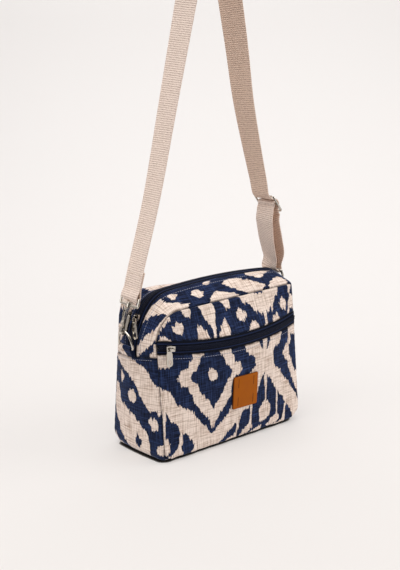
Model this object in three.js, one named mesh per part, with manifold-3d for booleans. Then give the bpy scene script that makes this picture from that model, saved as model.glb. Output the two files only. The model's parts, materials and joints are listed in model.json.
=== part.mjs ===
// Shoulder bag with a webbing strap held up from above, in millimetres, front towards -Y and up +Z.
// Heights are measured from the base; the last group lowers the bag so the strap's top is the origin.
import * as THREE from "three";
import { mergeVertices } from "three/addons/utils/BufferGeometryUtils.js";
import Module from "manifold-3d";

// Body sizes
const width = 222;
const halfWidth = width / 2;
const seamHeight = 181;
const topRadius = { left: 40, right: 16 };
const baseRadius = { left: 12, right: 20 };
const backCorner = { rise: 13, square: 5, fade: 30, from: 0.2 };
const frontCorner = { square: 6, from: 0.2 };
const cloth = 1.6;
const gap = 0.3;
const frontSeam = { base: -53.5, lean: 0.065 };
const backSeam = { base: 49.5, lean: -0.14 };
const crown = { base: 4.5, side: 7, top: 21, fall: 0.35, curve: 1.8, foot: 10, fullHeight: 90 };
const sideJoint = { height: 125.5, lean: -0.12, middle: -9 };
const bulge = { front: 16, back: 5, across: 2.2, pocket: 1.3, upper: 1.15 };
const dent = { depth: 4, x: -72, reach: 34, fade: 0.4 };

// Zip sizes
const pocketZip = { height: 139.5, sag: 8, lean: -0.027, half: 8 };
const mainZipHalf = 8;
const zipWander = { shift: -6, height: 170, reach: 24 };
const tape = { sunk: 0.4, thickness: 0.8 };
const coil = { half: 2.6, low: -0.1, high: 1.5 };
const zipSlider = { length: 11, width: 8.6, thickness: 2, low: 1.95 };
const zipBridge = { half: 3, height: 3.7, bar: 1, width: 1.8 };
const zipPull = { length: 24.5, width: 7.4, thickness: 1.2, bar: 1.3, hole: 4.8, holeHalf: 1.9 };
const mainPull = { height: 170, inward: 15, forward: 20 };
const pocketPullX = -95;

// Strap fitting sizes
const ring = { wire: 1.5, half: 13 };
const ringSpots = {
  left: { barX: -123.2, bar: 136.5, topX: -126, top: 158, y: -4.5 },
  right: { barX: 123.2, bar: 133, topX: 129.5, top: 150, y: -1 },
};
const tab = { half: 10.5, thickness: 1.4, foot: 126.8, inward: 1.9 };
const hook = { outer: 5.2, inner: 2.6, thick: 4.4, tip: 4.4, head: 21, top: 28, pivot: 22 };
const eye = { wire: 1.5, half: 18.2, low: 30.7, high: 40.4, corner: 1.6, boss: 3.8 };
const hookPost = { radius: 1.9, head: 3.2, clear: 0.3 };

// Strap sizes
const webbing = { width: 30, thickness: 1.8, tail: 72 };
const slider = { x: 101, y: -9, z: 280, tilt: 35, reach: 12, half: 18, wire: 1.3, corner: 3 };
const peg = { x: 16.3, y: -10, z: 650, radius: 17.6, turn: 34.6 };

// Left strand from the hook upwards and right strand from the top down, turn in degrees about Z
const leftStrand = [
  { x: -82.6, y: -9.5, z: 307, turn: 2 },
  { x: -53.3, y: -11, z: 419, turn: 8 },
  { x: -26.4, y: -15, z: 530, turn: 17 },
];
const rightStrand = [
  { x: 49.4, y: -4, z: 528, turn: 32 },
  { x: 57, y: -6, z: 470, turn: 24 },
  { x: 63.8, y: -8, z: 410, turn: 15 },
  { x: 76.4, y: -9, z: 348, turn: 7 },
  { x: 85.6, y: -9, z: 310, turn: 2 },
];

// Right loop below the slider, outer layer downwards and inner layer upwards
const outerLayer = [
  { x: 108, y: -8, z: 258 },
  { x: 112, y: -5, z: 234 },
  { x: 118.6, y: -1, z: 212 },
];
const innerLayer = [
  { x: 109.6, y: 1, z: 203.5 },
  { x: 104.6, y: -1.5, z: 215 },
  { x: 100.6, y: -5, z: 236 },
];

// Leather label on the pocket
const label = { x: 11, z: 65.4, width: 40, height: 41.5, tilt: -1.5, thickness: 1.6 };

// Materials
const finish = (color, roughness, metalness = 0) =>
  new THREE.MeshStandardMaterial({ color, roughness, metalness });
const printedCloth = finish(0x39456b, 0.9);
const beigeWebbing = finish(0xd2bba8, 0.9);
const navyTape = finish(0x171e2e, 0.8);
const navyCoil = finish(0x141a28, 0.45);
const silverMetal = finish(0xc9c9cc, 0.25, 1);
const tanLeather = finish(0x9a5418, 0.6);

const wasm = await Module();
wasm.setup();

const vec = (x, y, z) => new THREE.Vector3(x, y, z);
const smooth = (low, high, value) => THREE.MathUtils.smoothstep(value, low, high);
const radians = THREE.MathUtils.degToRad;
const bag = new THREE.Group();
bag.name = "shoulder_bag";

// Adds a named piece to the bag
function piece(name, geometry, material) {
  const mesh = new THREE.Mesh(geometry, material);
  mesh.name = name;
  bag.add(mesh);
}

// Closed surface from points and triangles, turned to face outwards
function closedGeometry(points, triangles) {
  let volume = 0;
  for (let i = 0; i < triangles.length; i += 3) {
    const [a, b, c] = triangles.slice(i, i + 3).map((k) => points[k]);
    volume += a.dot(b.clone().cross(c));
  }
  const faces = volume < 0 ? triangles.slice().reverse() : triangles;
  const geometry = new THREE.BufferGeometry().setFromPoints(points);
  return geometry.setIndex(faces);
}

// Thin wall between an outer and an inner grid of points, rows of equal length
function wallBetween(outer, inner) {
  const rows = outer.length;
  const columns = outer[0].length;
  const points = [...outer.flat(), ...inner.flat()];
  const triangles = [];
  const out = (r, c) => r * columns + c;
  const into = (r, c) => rows * columns + out(r, c);
  const quad = (a, b, c, d) => triangles.push(a, b, c, a, c, d);
  for (let r = 0; r < rows - 1; r++) {
    for (let c = 0; c < columns - 1; c++) {
      quad(out(r, c), out(r, c + 1), out(r + 1, c + 1), out(r + 1, c));
      quad(into(r, c), into(r + 1, c), into(r + 1, c + 1), into(r, c + 1));
    }
    quad(out(r, 0), out(r + 1, 0), into(r + 1, 0), into(r, 0));
    const e = columns - 1;
    quad(out(r + 1, e), out(r, e), into(r, e), into(r + 1, e));
  }
  for (let c = 0; c < columns - 1; c++) {
    quad(out(0, c + 1), out(0, c), into(0, c), into(0, c + 1));
    const e = rows - 1;
    quad(out(e, c), out(e, c + 1), into(e, c + 1), into(e, c));
  }
  return closedGeometry(points, triangles);
}

// Solid through rings of points, either closed on itself or capped at both ends
function loft(rings, closed) {
  const count = rings[0].length;
  const points = rings.flat();
  const triangles = [];
  const last = closed ? rings.length : rings.length - 1;
  for (let r = 0; r < last; r++) {
    const next = (r + 1) % rings.length;
    for (let c = 0; c < count; c++) {
      const d = (c + 1) % count;
      const low = [r * count + c, r * count + d];
      const high = [next * count + c, next * count + d];
      triangles.push(low[0], low[1], high[1], low[0], high[1], high[0]);
    }
  }
  if (!closed) {
    const end = (rings.length - 1) * count;
    for (let c = 1; c < count - 1; c++) {
      triangles.push(0, c + 1, c, end, end + c, end + c + 1);
    }
  }
  return closedGeometry(points, triangles);
}

// Round wire closed along flat points, across being the direction normal to their plane
function wireLoop(path, across, radius, sides) {
  const rings = path.map((point, i) => {
    const before = path[(i + path.length - 1) % path.length];
    const after = path[(i + 1) % path.length];
    const outward = after.clone().sub(before).cross(across).normalize();
    return Array.from({ length: sides }, (_, k) => {
      const angle = (2 * Math.PI * k) / sides;
      const away = outward.clone().multiplyScalar(radius * Math.cos(angle));
      return point.clone().add(away).addScaledVector(across, radius * Math.sin(angle));
    });
  });
  return loft(rings, true);
}

// Joining and cutting of closed solids
function solid(geometry) {
  const plain = geometry.index ? geometry.toNonIndexed() : geometry.clone();
  plain.deleteAttribute("normal");
  plain.deleteAttribute("uv");
  const merged = mergeVertices(plain, 1e-4);
  const triVerts = new Uint32Array(merged.index.array);
  const vertProperties = merged.attributes.position.array;
  return new wasm.Manifold(new wasm.Mesh({ numProp: 3, vertProperties, triVerts }));
}

function surfaceOf(made) {
  const mesh = made.getMesh();
  const geometry = new THREE.BufferGeometry();
  geometry.setAttribute("position", new THREE.BufferAttribute(mesh.vertProperties, 3));
  return geometry.setIndex(new THREE.BufferAttribute(mesh.triVerts, 1));
}

// Outline of the bag seen from the front
const frontAt = (z) => frontSeam.base + frontSeam.lean * z;
const backAt = (z) => backSeam.base + backSeam.lean * z;
const middleAt = (z) => (frontAt(z) + backAt(z)) / 2;
const halfDepthAt = (z) => (backAt(z) - frontAt(z)) / 2;
const jointAt = (y) => sideJoint.height + sideJoint.lean * (y - sideJoint.middle);
const cornerRise = (radius, over) => Math.sqrt(Math.max(0, radius * radius - over * over));

function sideLimit(z, side) {
  const radius = side < 0 ? topRadius.left : topRadius.right;
  const low = side < 0 ? baseRadius.left : baseRadius.right;
  const corner = z < low ? low : radius;
  const over = z < low ? low - z : Math.max(0, z - seamHeight + radius);
  return side * (halfWidth - corner + cornerRise(corner, over));
}

function topLimit(x) {
  const radius = x < 0 ? topRadius.left : topRadius.right;
  const over = Math.max(0, Math.abs(x) - halfWidth + radius);
  return seamHeight - radius + cornerRise(radius, over);
}

function baseLimit(x) {
  const radius = x < 0 ? baseRadius.left : baseRadius.right;
  const over = Math.max(0, Math.abs(x) - halfWidth + radius);
  return radius - cornerRise(radius, over);
}

// Back wall's top edge, squarer and higher than the front's at the left corner
const leftFoot = seamHeight - topRadius.left;
const rightFoot = seamHeight - topRadius.right;
const leftInner = topRadius.left - halfWidth;
const rightInner = halfWidth - topRadius.right;
const backReach = topRadius.left + backCorner.rise;
const backFade = (x) => backCorner.rise * (1 - smooth(leftInner, backCorner.fade, x));

function backTopLimit(x) {
  if (x > leftInner) {
    return topLimit(x) + backFade(x);
  }
  const share = (leftInner - x) / topRadius.left;
  return leftFoot + backReach * (1 - share ** backCorner.square) ** (1 / backCorner.square);
}

// How far the back edge of the top strip lies outside the front's outline
function backRise(station) {
  if (station.share !== undefined || station.nz <= 0) {
    return 0;
  }
  if (station.x > leftInner) {
    return backFade(station.x);
  }
  const across = (-station.nx / topRadius.left) ** backCorner.square;
  const upward = (station.nz / backReach) ** backCorner.square;
  return (across + upward) ** (-1 / backCorner.square) - topRadius.left;
}

// Front wall's top edge, squarer than the round outline at the right corner
function frontTopLimit(x) {
  if (x < rightInner) {
    return topLimit(x);
  }
  const share = (x - rightInner) / topRadius.right;
  return rightFoot + topRadius.right * (1 - share ** frontCorner.square) ** (1 / frontCorner.square);
}

// How far the front edge of the top strip lies outside the round outline
function frontRise(station) {
  if (station.share !== undefined || station.nx <= 0 || station.nz <= 0) {
    return 0;
  }
  const spread = station.nx ** frontCorner.square + station.nz ** frontCorner.square;
  return topRadius.right * (spread ** (-1 / frontCorner.square) - 1);
}

// Front and back walls
const along = (x) => (2 * x) / width;
const pocketZipAt = (x) =>
  pocketZip.height - pocketZip.sag * (1 - along(x) ** 2) + pocketZip.lean * x;

function fullness(x, z) {
  const left = sideLimit(z, -1);
  const right = sideLimit(z, 1);
  const share = Math.abs((2 * x - left - right) / (right - left));
  return 1 - Math.min(1, share) ** bulge.across;
}

function frontY(x, z) {
  const low = pocketZipAt(x) - pocketZip.half;
  const high = pocketZipAt(x) + pocketZip.half;
  const below = 1 - Math.max(0, 1 - z / low) ** bulge.pocket;
  const climb = THREE.MathUtils.clamp((z - high) / (seamHeight - high), 0, 1);
  const above = (1 - climb) ** bulge.upper;
  const near = Math.exp(-(((x - dent.x) / dent.reach) ** 2));
  const pressed = z > high ? dent.depth * near * Math.sin(Math.PI * climb ** dent.fade) : 0;
  const forward = bulge.front * Math.min(below, above) - pressed;
  return frontAt(z) - cloth - fullness(x, z) * forward;
}

const backY = (x, z) =>
  backAt(z) + cloth + bulge.back * fullness(x, z) * Math.sin(Math.PI * Math.min(1, z / seamHeight));

// Columns across the front, closer together near the side seams
const columnsX = (count, reach) =>
  Array.from({ length: count + 1 }, (_, i) => reach * Math.sin((i / count - 0.5) * Math.PI));

// Wall in X and Z between two height limits, its face lifted along Y from the given surface
function uprightWall(xs, rows, lowAt, highAt, surface, lift, thickness) {
  const grid = (offset) =>
    Array.from({ length: rows + 1 }, (_, r) =>
      xs.map((x) => {
        const z = THREE.MathUtils.lerp(lowAt(x), highAt(x), r / rows);
        return vec(x, surface(x, z) + offset, z);
      }),
    );
  return wallBetween(grid(lift), grid(lift + thickness));
}

const panelColumns = columnsX(20, halfWidth - 0.01);
const upperColumns = columnsX(20, 1).map((share) =>
  share < 0 ? share * (halfWidth - 2.2) : share * (halfWidth - 0.6),
);
const zipLow = (x) => pocketZipAt(x) - pocketZip.half;
const zipHigh = (x) => pocketZipAt(x) + pocketZip.half;
const pocketWall = uprightWall(panelColumns, 8, baseLimit, zipLow, frontY, 0, cloth);
piece("front_pocket_panel", pocketWall, printedCloth);
const upperWall = uprightWall(upperColumns, 5, zipHigh, frontTopLimit, frontY, 0, cloth);
piece("front_upper_panel", upperWall, printedCloth);
const backWall = uprightWall(panelColumns, 8, baseLimit, backTopLimit, backY, -cloth, cloth);
piece("back_panel", backWall, printedCloth);

// Pocket zip
const tapeColumns = columnsX(16, halfWidth - 1.6);
const lowTape = uprightWall(
  tapeColumns,
  1,
  (x) => zipLow(x) + gap,
  (x) => pocketZipAt(x) - gap / 2,
  frontY,
  tape.sunk,
  tape.thickness,
);
piece("pocket_zip_tape_lower", lowTape, navyTape);
const highTape = uprightWall(
  tapeColumns,
  1,
  (x) => pocketZipAt(x) + gap / 2,
  (x) => zipHigh(x) - gap,
  frontY,
  tape.sunk,
  tape.thickness,
);
piece("pocket_zip_tape_upper", highTape, navyTape);

// Section of a closed coil: offsets across the zip and out of the cloth
const coilSection = [
  [-coil.half, coil.low],
  [-coil.half, coil.high - 0.8],
  [-coil.half + 1, coil.high],
  [coil.half - 1, coil.high],
  [coil.half, coil.high - 0.8],
  [coil.half, coil.low],
];
const pocketCoil = tapeColumns.map((x) =>
  coilSection.map(([over, out]) => {
    const z = pocketZipAt(x) + over;
    return vec(x, frontY(x, pocketZipAt(x)) - out, z);
  }),
);
piece("pocket_zip_coil", loft(pocketCoil, false), navyCoil);

// Stations round the outline: a point, its outward normal, and the side it climbs, if any
function cornerStations(side, radius, height, from, to, steps) {
  return Array.from({ length: steps + 1 }, (_, i) => {
    const angle = radians(THREE.MathUtils.lerp(from, to, i / steps));
    const nx = side * Math.cos(angle);
    const nz = Math.sin(angle);
    const x = side * (halfWidth - radius) + radius * nx;
    return { x, z: height + radius * nz, nx, nz };
  });
}

function sideStations(side, fromShare, toShare, steps, foot) {
  return Array.from({ length: steps }, (_, i) => {
    const share = THREE.MathUtils.lerp(fromShare, toShare, i / steps);
    return { x: side * halfWidth, nx: side, nz: 0, share, foot };
  });
}

function flatStations(fromX, toX, z, nz, steps) {
  return Array.from({ length: steps - 1 }, (_, i) => {
    const x = THREE.MathUtils.lerp(fromX, toX, (i + 1) / steps);
    return { x, z, nx: 0, nz };
  });
}

const lowerStations = [
  ...sideStations(-1, 1, 0, 4, baseRadius.left),
  ...cornerStations(-1, baseRadius.left, baseRadius.left, 0, -90, 4),
  ...flatStations(baseRadius.left - halfWidth, halfWidth - baseRadius.right, 0, -1, 4),
  ...cornerStations(1, baseRadius.right, baseRadius.right, -90, 0, 4),
  ...sideStations(1, 1, 0, 4, baseRadius.right).reverse(),
];
const upperStations = [
  ...sideStations(-1, 1, 0, 2, leftFoot),
  ...cornerStations(-1, topRadius.left, leftFoot, 0, 90, 10),
  ...flatStations(leftInner, rightInner, seamHeight, 1, 6),
  ...cornerStations(1, topRadius.right, rightFoot, 90, 0, 6),
  ...sideStations(1, 1, 0, 3, rightFoot).reverse(),
];

// Point of the gusset at a station, y across it, lifted outwards
function gussetPoint(station, y, lift, clear) {
  const edge = jointAt(y) + clear;
  const climbing = station.share !== undefined;
  const z = climbing ? THREE.MathUtils.lerp(station.foot, edge, station.share) : station.z;
  const rear = backRise(station);
  const fore = frontRise(station);
  const wider = y > middleAt(z) ? backSeam.lean * rear : -frontSeam.lean * fore;
  const half = halfDepthAt(z) + station.nz * wider;
  const over = Math.min(1, Math.abs((y - middleAt(z)) / half));
  const side = THREE.MathUtils.lerp(crown.base, crown.side, smooth(crown.foot, crown.fullHeight, z));
  const peak = crown.top * (1 - crown.fall * along(station.x) ** 2);
  const top = (peak - crown.side) * Math.max(0, station.nz) ** 2;
  const swell = (side * (1 + Math.min(0, station.nz)) + top) * (1 - over ** crown.curve);
  const zipSide = zipMiddle(station) + mainZipHalf;
  const behind = (y - zipSide) / (backEdge(station) - zipSide);
  const ahead = (zipSide - 2 * mainZipHalf - y) / (zipSide - 2 * mainZipHalf - frontEdge(station));
  const pushed = fore * smooth(frontCorner.from, 1, ahead);
  const out = swell + lift + pushed + rear * smooth(backCorner.from, 1, behind);
  return vec(station.x + station.nx * out, y, z + station.nz * out);
}

// Middle line of the main zip, drawn a little forward at the left corner
const zipMiddle = (station) => {
  const z = heightOf(station);
  const near = Math.exp(-(((z - zipWander.height) / zipWander.reach) ** 2));
  return middleAt(z) + (station.x < 0 ? zipWander.shift * near * -station.nx : 0);
};

// Height of a station, where climbing ones are taken at the middle of the side
const heightOf = (station) =>
  station.share === undefined
    ? station.z
    : THREE.MathUtils.lerp(station.foot, sideJoint.height, station.share);

// Strip of the gusset between two lines across it
function gussetStrip(stations, fromAt, toAt, columns, lift, thickness, clear) {
  const grid = (offset) =>
    stations.map((station) =>
      Array.from({ length: columns + 1 }, (_, c) => {
        const y = THREE.MathUtils.lerp(fromAt(station), toAt(station), c / columns);
        return gussetPoint(station, y, offset, clear);
      }),
    );
  return wallBetween(grid(lift), grid(lift - thickness));
}

const frontEdge = (station) => frontAt(heightOf(station) + station.nz * frontRise(station)) + gap;
const backEdge = (station) => backAt(heightOf(station) + station.nz * backRise(station)) - gap;
const lowerStrip = gussetStrip(lowerStations, frontEdge, backEdge, 8, 0, cloth, -gap / 2);
piece("lower_gusset", lowerStrip, printedCloth);
const zipFront = (station) => zipMiddle(station) - mainZipHalf;
const zipBack = (station) => zipMiddle(station) + mainZipHalf;
const frontStrip = gussetStrip(upperStations, frontEdge, zipFront, 4, 0, cloth, gap / 2);
piece("zip_gusset_front", frontStrip, printedCloth);
const backStrip = gussetStrip(upperStations, zipBack, backEdge, 4, 0, cloth, gap / 2);
piece("zip_gusset_back", backStrip, printedCloth);

// Main zip, over the top from one side joint to the other
const frontTape = gussetStrip(
  upperStations,
  (station) => zipFront(station) + gap,
  (station) => zipMiddle(station) - gap / 2,
  1,
  -tape.sunk,
  tape.thickness,
  gap / 2,
);
piece("main_zip_tape_front", frontTape, navyTape);
const backTape = gussetStrip(
  upperStations,
  (station) => zipMiddle(station) + gap / 2,
  (station) => zipBack(station) - gap,
  1,
  -tape.sunk,
  tape.thickness,
  gap / 2,
);
piece("main_zip_tape_back", backTape, navyTape);
const mainCoil = upperStations.map((station) =>
  coilSection.map(([over, out]) => {
    const middle = zipMiddle(station);
    const point = gussetPoint(station, middle, out, gap);
    point.y = middle + over;
    return point;
  }),
);
piece("main_zip_coil", loft(mainCoil, false), navyCoil);

// Frame with its origin on a point, from the directions of its local X and Z
function frameAt(origin, localX, localZ) {
  const z = localZ.clone().normalize();
  const y = z.clone().cross(localX).normalize();
  const x = y.clone().cross(z);
  return new THREE.Matrix4().makeBasis(x, y, z).setPosition(origin);
}

// Zip slider: plate on the coil and a bridge, local X along the zip and local Z out of the cloth
function zipSliderSolid() {
  const plate = new THREE.Shape();
  const half = zipSlider.length / 2;
  const wide = zipSlider.width / 2;
  plate.moveTo(-half, -wide * 0.7);
  plate.lineTo(-half, wide * 0.7);
  plate.quadraticCurveTo(0, wide * 0.8, half * 0.4, wide);
  plate.lineTo(half, wide * 0.8);
  plate.lineTo(half, -wide * 0.8);
  plate.lineTo(half * 0.4, -wide);
  plate.quadraticCurveTo(0, -wide * 0.8, -half, -wide * 0.7);
  const body = new THREE.ExtrudeGeometry(plate, {
    depth: zipSlider.thickness,
    bevelEnabled: false,
    curveSegments: 3,
  });
  body.translate(0, 0, zipSlider.low);
  const arch = new THREE.Shape();
  const foot = zipBridge.half + zipBridge.bar / 2;
  arch.moveTo(-foot, -0.5);
  arch.lineTo(foot, -0.5);
  arch.lineTo(foot, zipBridge.height * 0.7);
  arch.lineTo(foot - 1, zipBridge.height);
  arch.lineTo(1 - foot, zipBridge.height);
  arch.lineTo(-foot, zipBridge.height * 0.7);
  const inside = foot - zipBridge.bar;
  const clear = new THREE.Path();
  clear.moveTo(-inside, 0.1);
  clear.lineTo(-inside, zipBridge.height - zipBridge.bar);
  clear.lineTo(inside, zipBridge.height - zipBridge.bar);
  clear.lineTo(inside, 0.1);
  arch.holes.push(clear);
  const bridge = new THREE.ExtrudeGeometry(arch, { depth: zipBridge.width, bevelEnabled: false });
  bridge.rotateX(Math.PI / 2);
  bridge.translate(0, zipBridge.width / 2, zipSlider.low + zipSlider.thickness);
  return surfaceOf(solid(body).add(solid(bridge)));
}

// Zip pull: flat tab hanging along local -X, its top bar on the local Y axis
function zipPullSolid() {
  const outline = new THREE.Shape();
  const wide = zipPull.width / 2;
  const neck = wide * 0.8;
  const end = zipPull.bar / 2 - zipPull.length;
  outline.moveTo(zipPull.bar / 2, -neck);
  outline.lineTo(zipPull.bar / 2, neck);
  outline.lineTo(-7, neck);
  outline.lineTo(-9, wide);
  outline.lineTo(end + wide, wide);
  outline.absarc(end + wide, 0, wide, Math.PI / 2, 1.5 * Math.PI, false);
  outline.lineTo(-9, -wide);
  outline.lineTo(-7, -neck);
  const window = new THREE.Path();
  const top = -zipPull.bar / 2;
  window.moveTo(top, -zipPull.holeHalf);
  window.lineTo(top - zipPull.hole, -zipPull.holeHalf);
  window.lineTo(top - zipPull.hole, zipPull.holeHalf);
  window.lineTo(top, zipPull.holeHalf);
  outline.holes.push(window);
  const oval = new THREE.Path();
  oval.absellipse(end + 5.2, 0, 3.2, 1.9, 0, 2 * Math.PI, true);
  outline.holes.push(oval);
  const tabSolid = new THREE.ExtrudeGeometry(outline, {
    depth: zipPull.thickness,
    bevelEnabled: false,
    curveSegments: 5,
  });
  return tabSolid.translate(0, 0, -zipPull.thickness / 2);
}

const pullLift = zipSlider.low + zipSlider.thickness + 1.7;

// Main zip slider on the left corner, pull hanging down the side
const cornerSpot = (angle) => {
  const nx = -Math.cos(angle);
  const nz = Math.sin(angle);
  const x = topRadius.left - halfWidth + topRadius.left * nx;
  return { x, z: leftFoot + topRadius.left * nz, nx, nz };
};
const zipSpot = (angle) => {
  const station = cornerSpot(angle);
  return gussetPoint(station, zipMiddle(station), 0, 0);
};
const spread = topRadius.left + crown.side + 2;
const mainAngle = Math.asin((mainPull.height - leftFoot) / spread);
const mainSpot = zipSpot(mainAngle);
const mainUp = zipSpot(mainAngle + 0.08).sub(zipSpot(mainAngle - 0.08)).normalize();
const mainOut = vec(-mainUp.z, 0, mainUp.x).normalize();
const mainFrame = frameAt(mainSpot, mainUp, mainOut);
piece("main_zip_slider", zipSliderSolid().applyMatrix4(mainFrame), silverMetal);
const mainPivot = mainSpot.clone().addScaledVector(mainOut, pullLift);
mainPivot.addScaledVector(mainUp, -1.2);
const pullTurn = new THREE.Euler(0, -radians(mainPull.inward), radians(mainPull.forward), "ZYX");
const pullTurned = new THREE.Matrix4().makeRotationFromEuler(pullTurn);
const mainPullFrame = frameAt(mainPivot, mainUp, mainOut).multiply(pullTurned);
piece("main_zip_pull", zipPullSolid().applyMatrix4(mainPullFrame), silverMetal);

// Pocket zip slider near the left end, pull hanging from its left leg
const pocketSpotZ = pocketZipAt(pocketPullX);
const pocketSpot = vec(pocketPullX, frontY(pocketPullX, pocketSpotZ), pocketSpotZ);
const beside = pocketPullX + 1;
const pocketAlong = vec(beside, frontY(beside, pocketZipAt(beside)), pocketZipAt(beside));
pocketAlong.sub(pocketSpot).normalize();
const pocketOut = vec(0, -1, 0).addScaledVector(pocketAlong, pocketAlong.y);
const pocketFrame = frameAt(pocketSpot, pocketAlong.clone().negate(), pocketOut);
piece("pocket_zip_slider", zipSliderSolid().applyMatrix4(pocketFrame), silverMetal);
const pocketPivot = pocketSpot.clone().addScaledVector(pocketOut, pullLift);
pocketPivot.addScaledVector(pocketAlong, -zipBridge.half);
const downTab = zipPullSolid().translate((zipPull.bar + zipPull.hole) / 2, 0, 0);
const pocketPullFrame = frameAt(pocketPivot, vec(0, 0, 1), pocketOut);
piece("pocket_zip_pull", downTab.applyMatrix4(pocketPullFrame), silverMetal);

// Rounded rectangle as flat points: half sizes, corner radius, steps in each corner
function roundedLoop(halfU, halfV, corner, steps) {
  const points = [];
  const centres = [
    [1, 1, 0],
    [-1, 1, 90],
    [-1, -1, 180],
    [1, -1, 270],
  ];
  for (const [u, v, start] of centres) {
    for (let i = 0; i <= steps; i++) {
      const angle = radians(start + (90 * i) / steps);
      const pu = u * (halfU - corner) + corner * Math.cos(angle);
      const pv = v * (halfV - corner) + corner * Math.sin(angle);
      points.push([pu, pv]);
    }
  }
  return points;
}

// Ring, tab, hook and eye on one side; the hook points from the ring's top to the strap's pull
function strapFitting(side, pull) {
  const name = side < 0 ? "left" : "right";
  const spot = ringSpots[name];
  const barPoint = vec(spot.barX, spot.y, spot.bar);
  const topPoint = vec(spot.topX, spot.y, spot.top);
  const ringUp = topPoint.clone().sub(barPoint);
  const rise = ringUp.length();
  ringUp.normalize();
  const ringNormal = ringUp.clone().cross(vec(0, 1, 0));
  const path = [];
  const straight = 6;
  const arcSteps = 14;
  const bend = rise - 3;
  for (let i = 1; i < straight; i++) {
    path.push([THREE.MathUtils.lerp(2.5 - ring.half, ring.half - 2.5, i / straight), 0]);
  }
  path.push([ring.half - 2, 0], [ring.half - 0.6, 0.9], [ring.half, 2.3]);
  for (let i = 0; i <= arcSteps; i++) {
    const angle = (Math.PI * i) / arcSteps;
    path.push([ring.half * Math.cos(angle), 3 + bend * Math.sin(angle)]);
  }
  path.push([-ring.half, 2.3], [0.6 - ring.half, 0.9], [2 - ring.half, 0]);
  const ringPath = path.map(([y, up]) =>
    barPoint.clone().add(vec(0, y, 0)).addScaledVector(ringUp, up),
  );
  const ringSolid = wireLoop(ringPath, ringNormal, ring.wire, 8);
  piece("d_ring_" + name, ringSolid, silverMetal);

  const loopIn = ring.wire + gap;
  const loopOut = loopIn + tab.thickness;
  const foot = tab.foot - spot.bar;
  const inward = -side * tab.inward;
  const drop = new THREE.Shape();
  drop.moveTo(inward - tab.thickness, foot);
  drop.lineTo(inward + tab.thickness, foot);
  drop.lineTo(loopOut, 0);
  drop.absarc(0, 0, loopOut, 0, Math.PI, false);
  const barHole = new THREE.Path();
  barHole.absarc(0, 0, loopIn, 0, 2 * Math.PI, true);
  drop.holes.push(barHole);
  const tabSolid = new THREE.ExtrudeGeometry(drop, {
    depth: 2 * tab.half,
    bevelEnabled: false,
    curveSegments: 8,
  });
  tabSolid.rotateX(Math.PI / 2);
  tabSolid.translate(spot.barX, spot.y + tab.half, spot.bar);
  piece("ring_tab_" + name, tabSolid, printedCloth);

  const axis = pull.clone().sub(topPoint).normalize();
  const outward = vec(side, 0, 0);
  const frame = frameAt(topPoint, outward, axis);
  const claw = new THREE.Shape();
  claw.moveTo(-hook.outer, hook.head - 1);
  claw.lineTo(-hook.outer, 0);
  claw.absarc(0, 0, hook.outer, Math.PI, 2 * Math.PI, false);
  claw.lineTo(hook.outer, hook.tip - 1);
  claw.lineTo(hook.outer - 0.8, hook.tip);
  claw.lineTo(hook.inner + 0.2, hook.tip);
  claw.lineTo(hook.inner, 0);
  claw.absarc(0, 0, hook.inner, 0, -Math.PI, true);
  claw.lineTo(-hook.inner, hook.head - 3);
  claw.lineTo(-0.8, hook.head - 1);
  claw.lineTo(1.5, hook.head - 4.4);
  claw.lineTo(hook.outer, hook.head - 4.4);
  claw.lineTo(hook.outer, hook.top - 2);
  claw.lineTo(2.6, hook.top);
  claw.lineTo(-2.6, hook.top);
  claw.lineTo(-hook.outer, hook.top - 3);
  const clawBody = new THREE.ExtrudeGeometry(claw, {
    depth: hook.thick,
    bevelEnabled: false,
    curveSegments: 6,
  });
  clawBody.rotateX(Math.PI / 2);
  clawBody.translate(0, hook.thick / 2, 0);
  const notch = new THREE.BoxGeometry(8, 2.8, 9.2);
  notch.translate(hook.outer - 1.2 + 0.6, 0, hook.pivot - 2);
  const pinHole = new THREE.CylinderGeometry(0.95, 0.95, hook.thick + 2, 10);
  pinHole.translate(hook.outer - 2, 0, hook.pivot);
  const postLength = eye.low + eye.wire + 1.4 - hook.top + 1;
  const post = new THREE.CylinderGeometry(hookPost.radius, hookPost.radius, postLength, 12);
  post.rotateX(Math.PI / 2);
  post.translate(0, 0, hook.top - 1 + postLength / 2);
  const rivet = new THREE.CylinderGeometry(hookPost.head, hookPost.head, 1.3, 12);
  rivet.rotateX(Math.PI / 2);
  rivet.translate(0, 0, hook.top - 1 + postLength + 0.3);
  const clawSolid = solid(clawBody).subtract(solid(notch)).subtract(solid(pinHole));
  const hookSolid = clawSolid.add(solid(post)).add(solid(rivet));
  piece("hook_body_" + name, surfaceOf(hookSolid).applyMatrix4(frame), silverMetal);

  const lever = new THREE.Shape();
  lever.moveTo(hook.outer - 3.6, hook.head - 4.9);
  lever.lineTo(hook.outer - 0.6, hook.head - 4.9);
  lever.lineTo(hook.outer - 0.9, 9.5);
  lever.lineTo(hook.inner - 0.3, hook.tip + 0.6);
  lever.lineTo(hook.inner - 0.3, 2.4);
  lever.lineTo(0.5, 2.4);
  lever.lineTo(0.7, 6);
  const leverBody = new THREE.ExtrudeGeometry(lever, { depth: hook.thick, bevelEnabled: false });
  leverBody.rotateX(Math.PI / 2);
  leverBody.translate(0, hook.thick / 2, 0);
  const knuckle = new THREE.BoxGeometry(2.8, 2.2, 7.2);
  knuckle.translate(hook.outer - 2.1, 0, hook.pivot - 2.4);
  const pin = new THREE.CylinderGeometry(0.6, 0.6, hook.thick, 8);
  pin.translate(hook.outer - 2, 0, hook.pivot);
  const thumb = new THREE.SphereGeometry(1.5, 8, 5);
  thumb.scale(1, 1.3, 1);
  thumb.translate(hook.outer - 0.5, 0, 11);
  const gate = solid(leverBody).add(solid(knuckle)).add(solid(pin)).add(solid(thumb));
  piece("hook_gate_" + name, surfaceOf(gate).applyMatrix4(frame), silverMetal);

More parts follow.
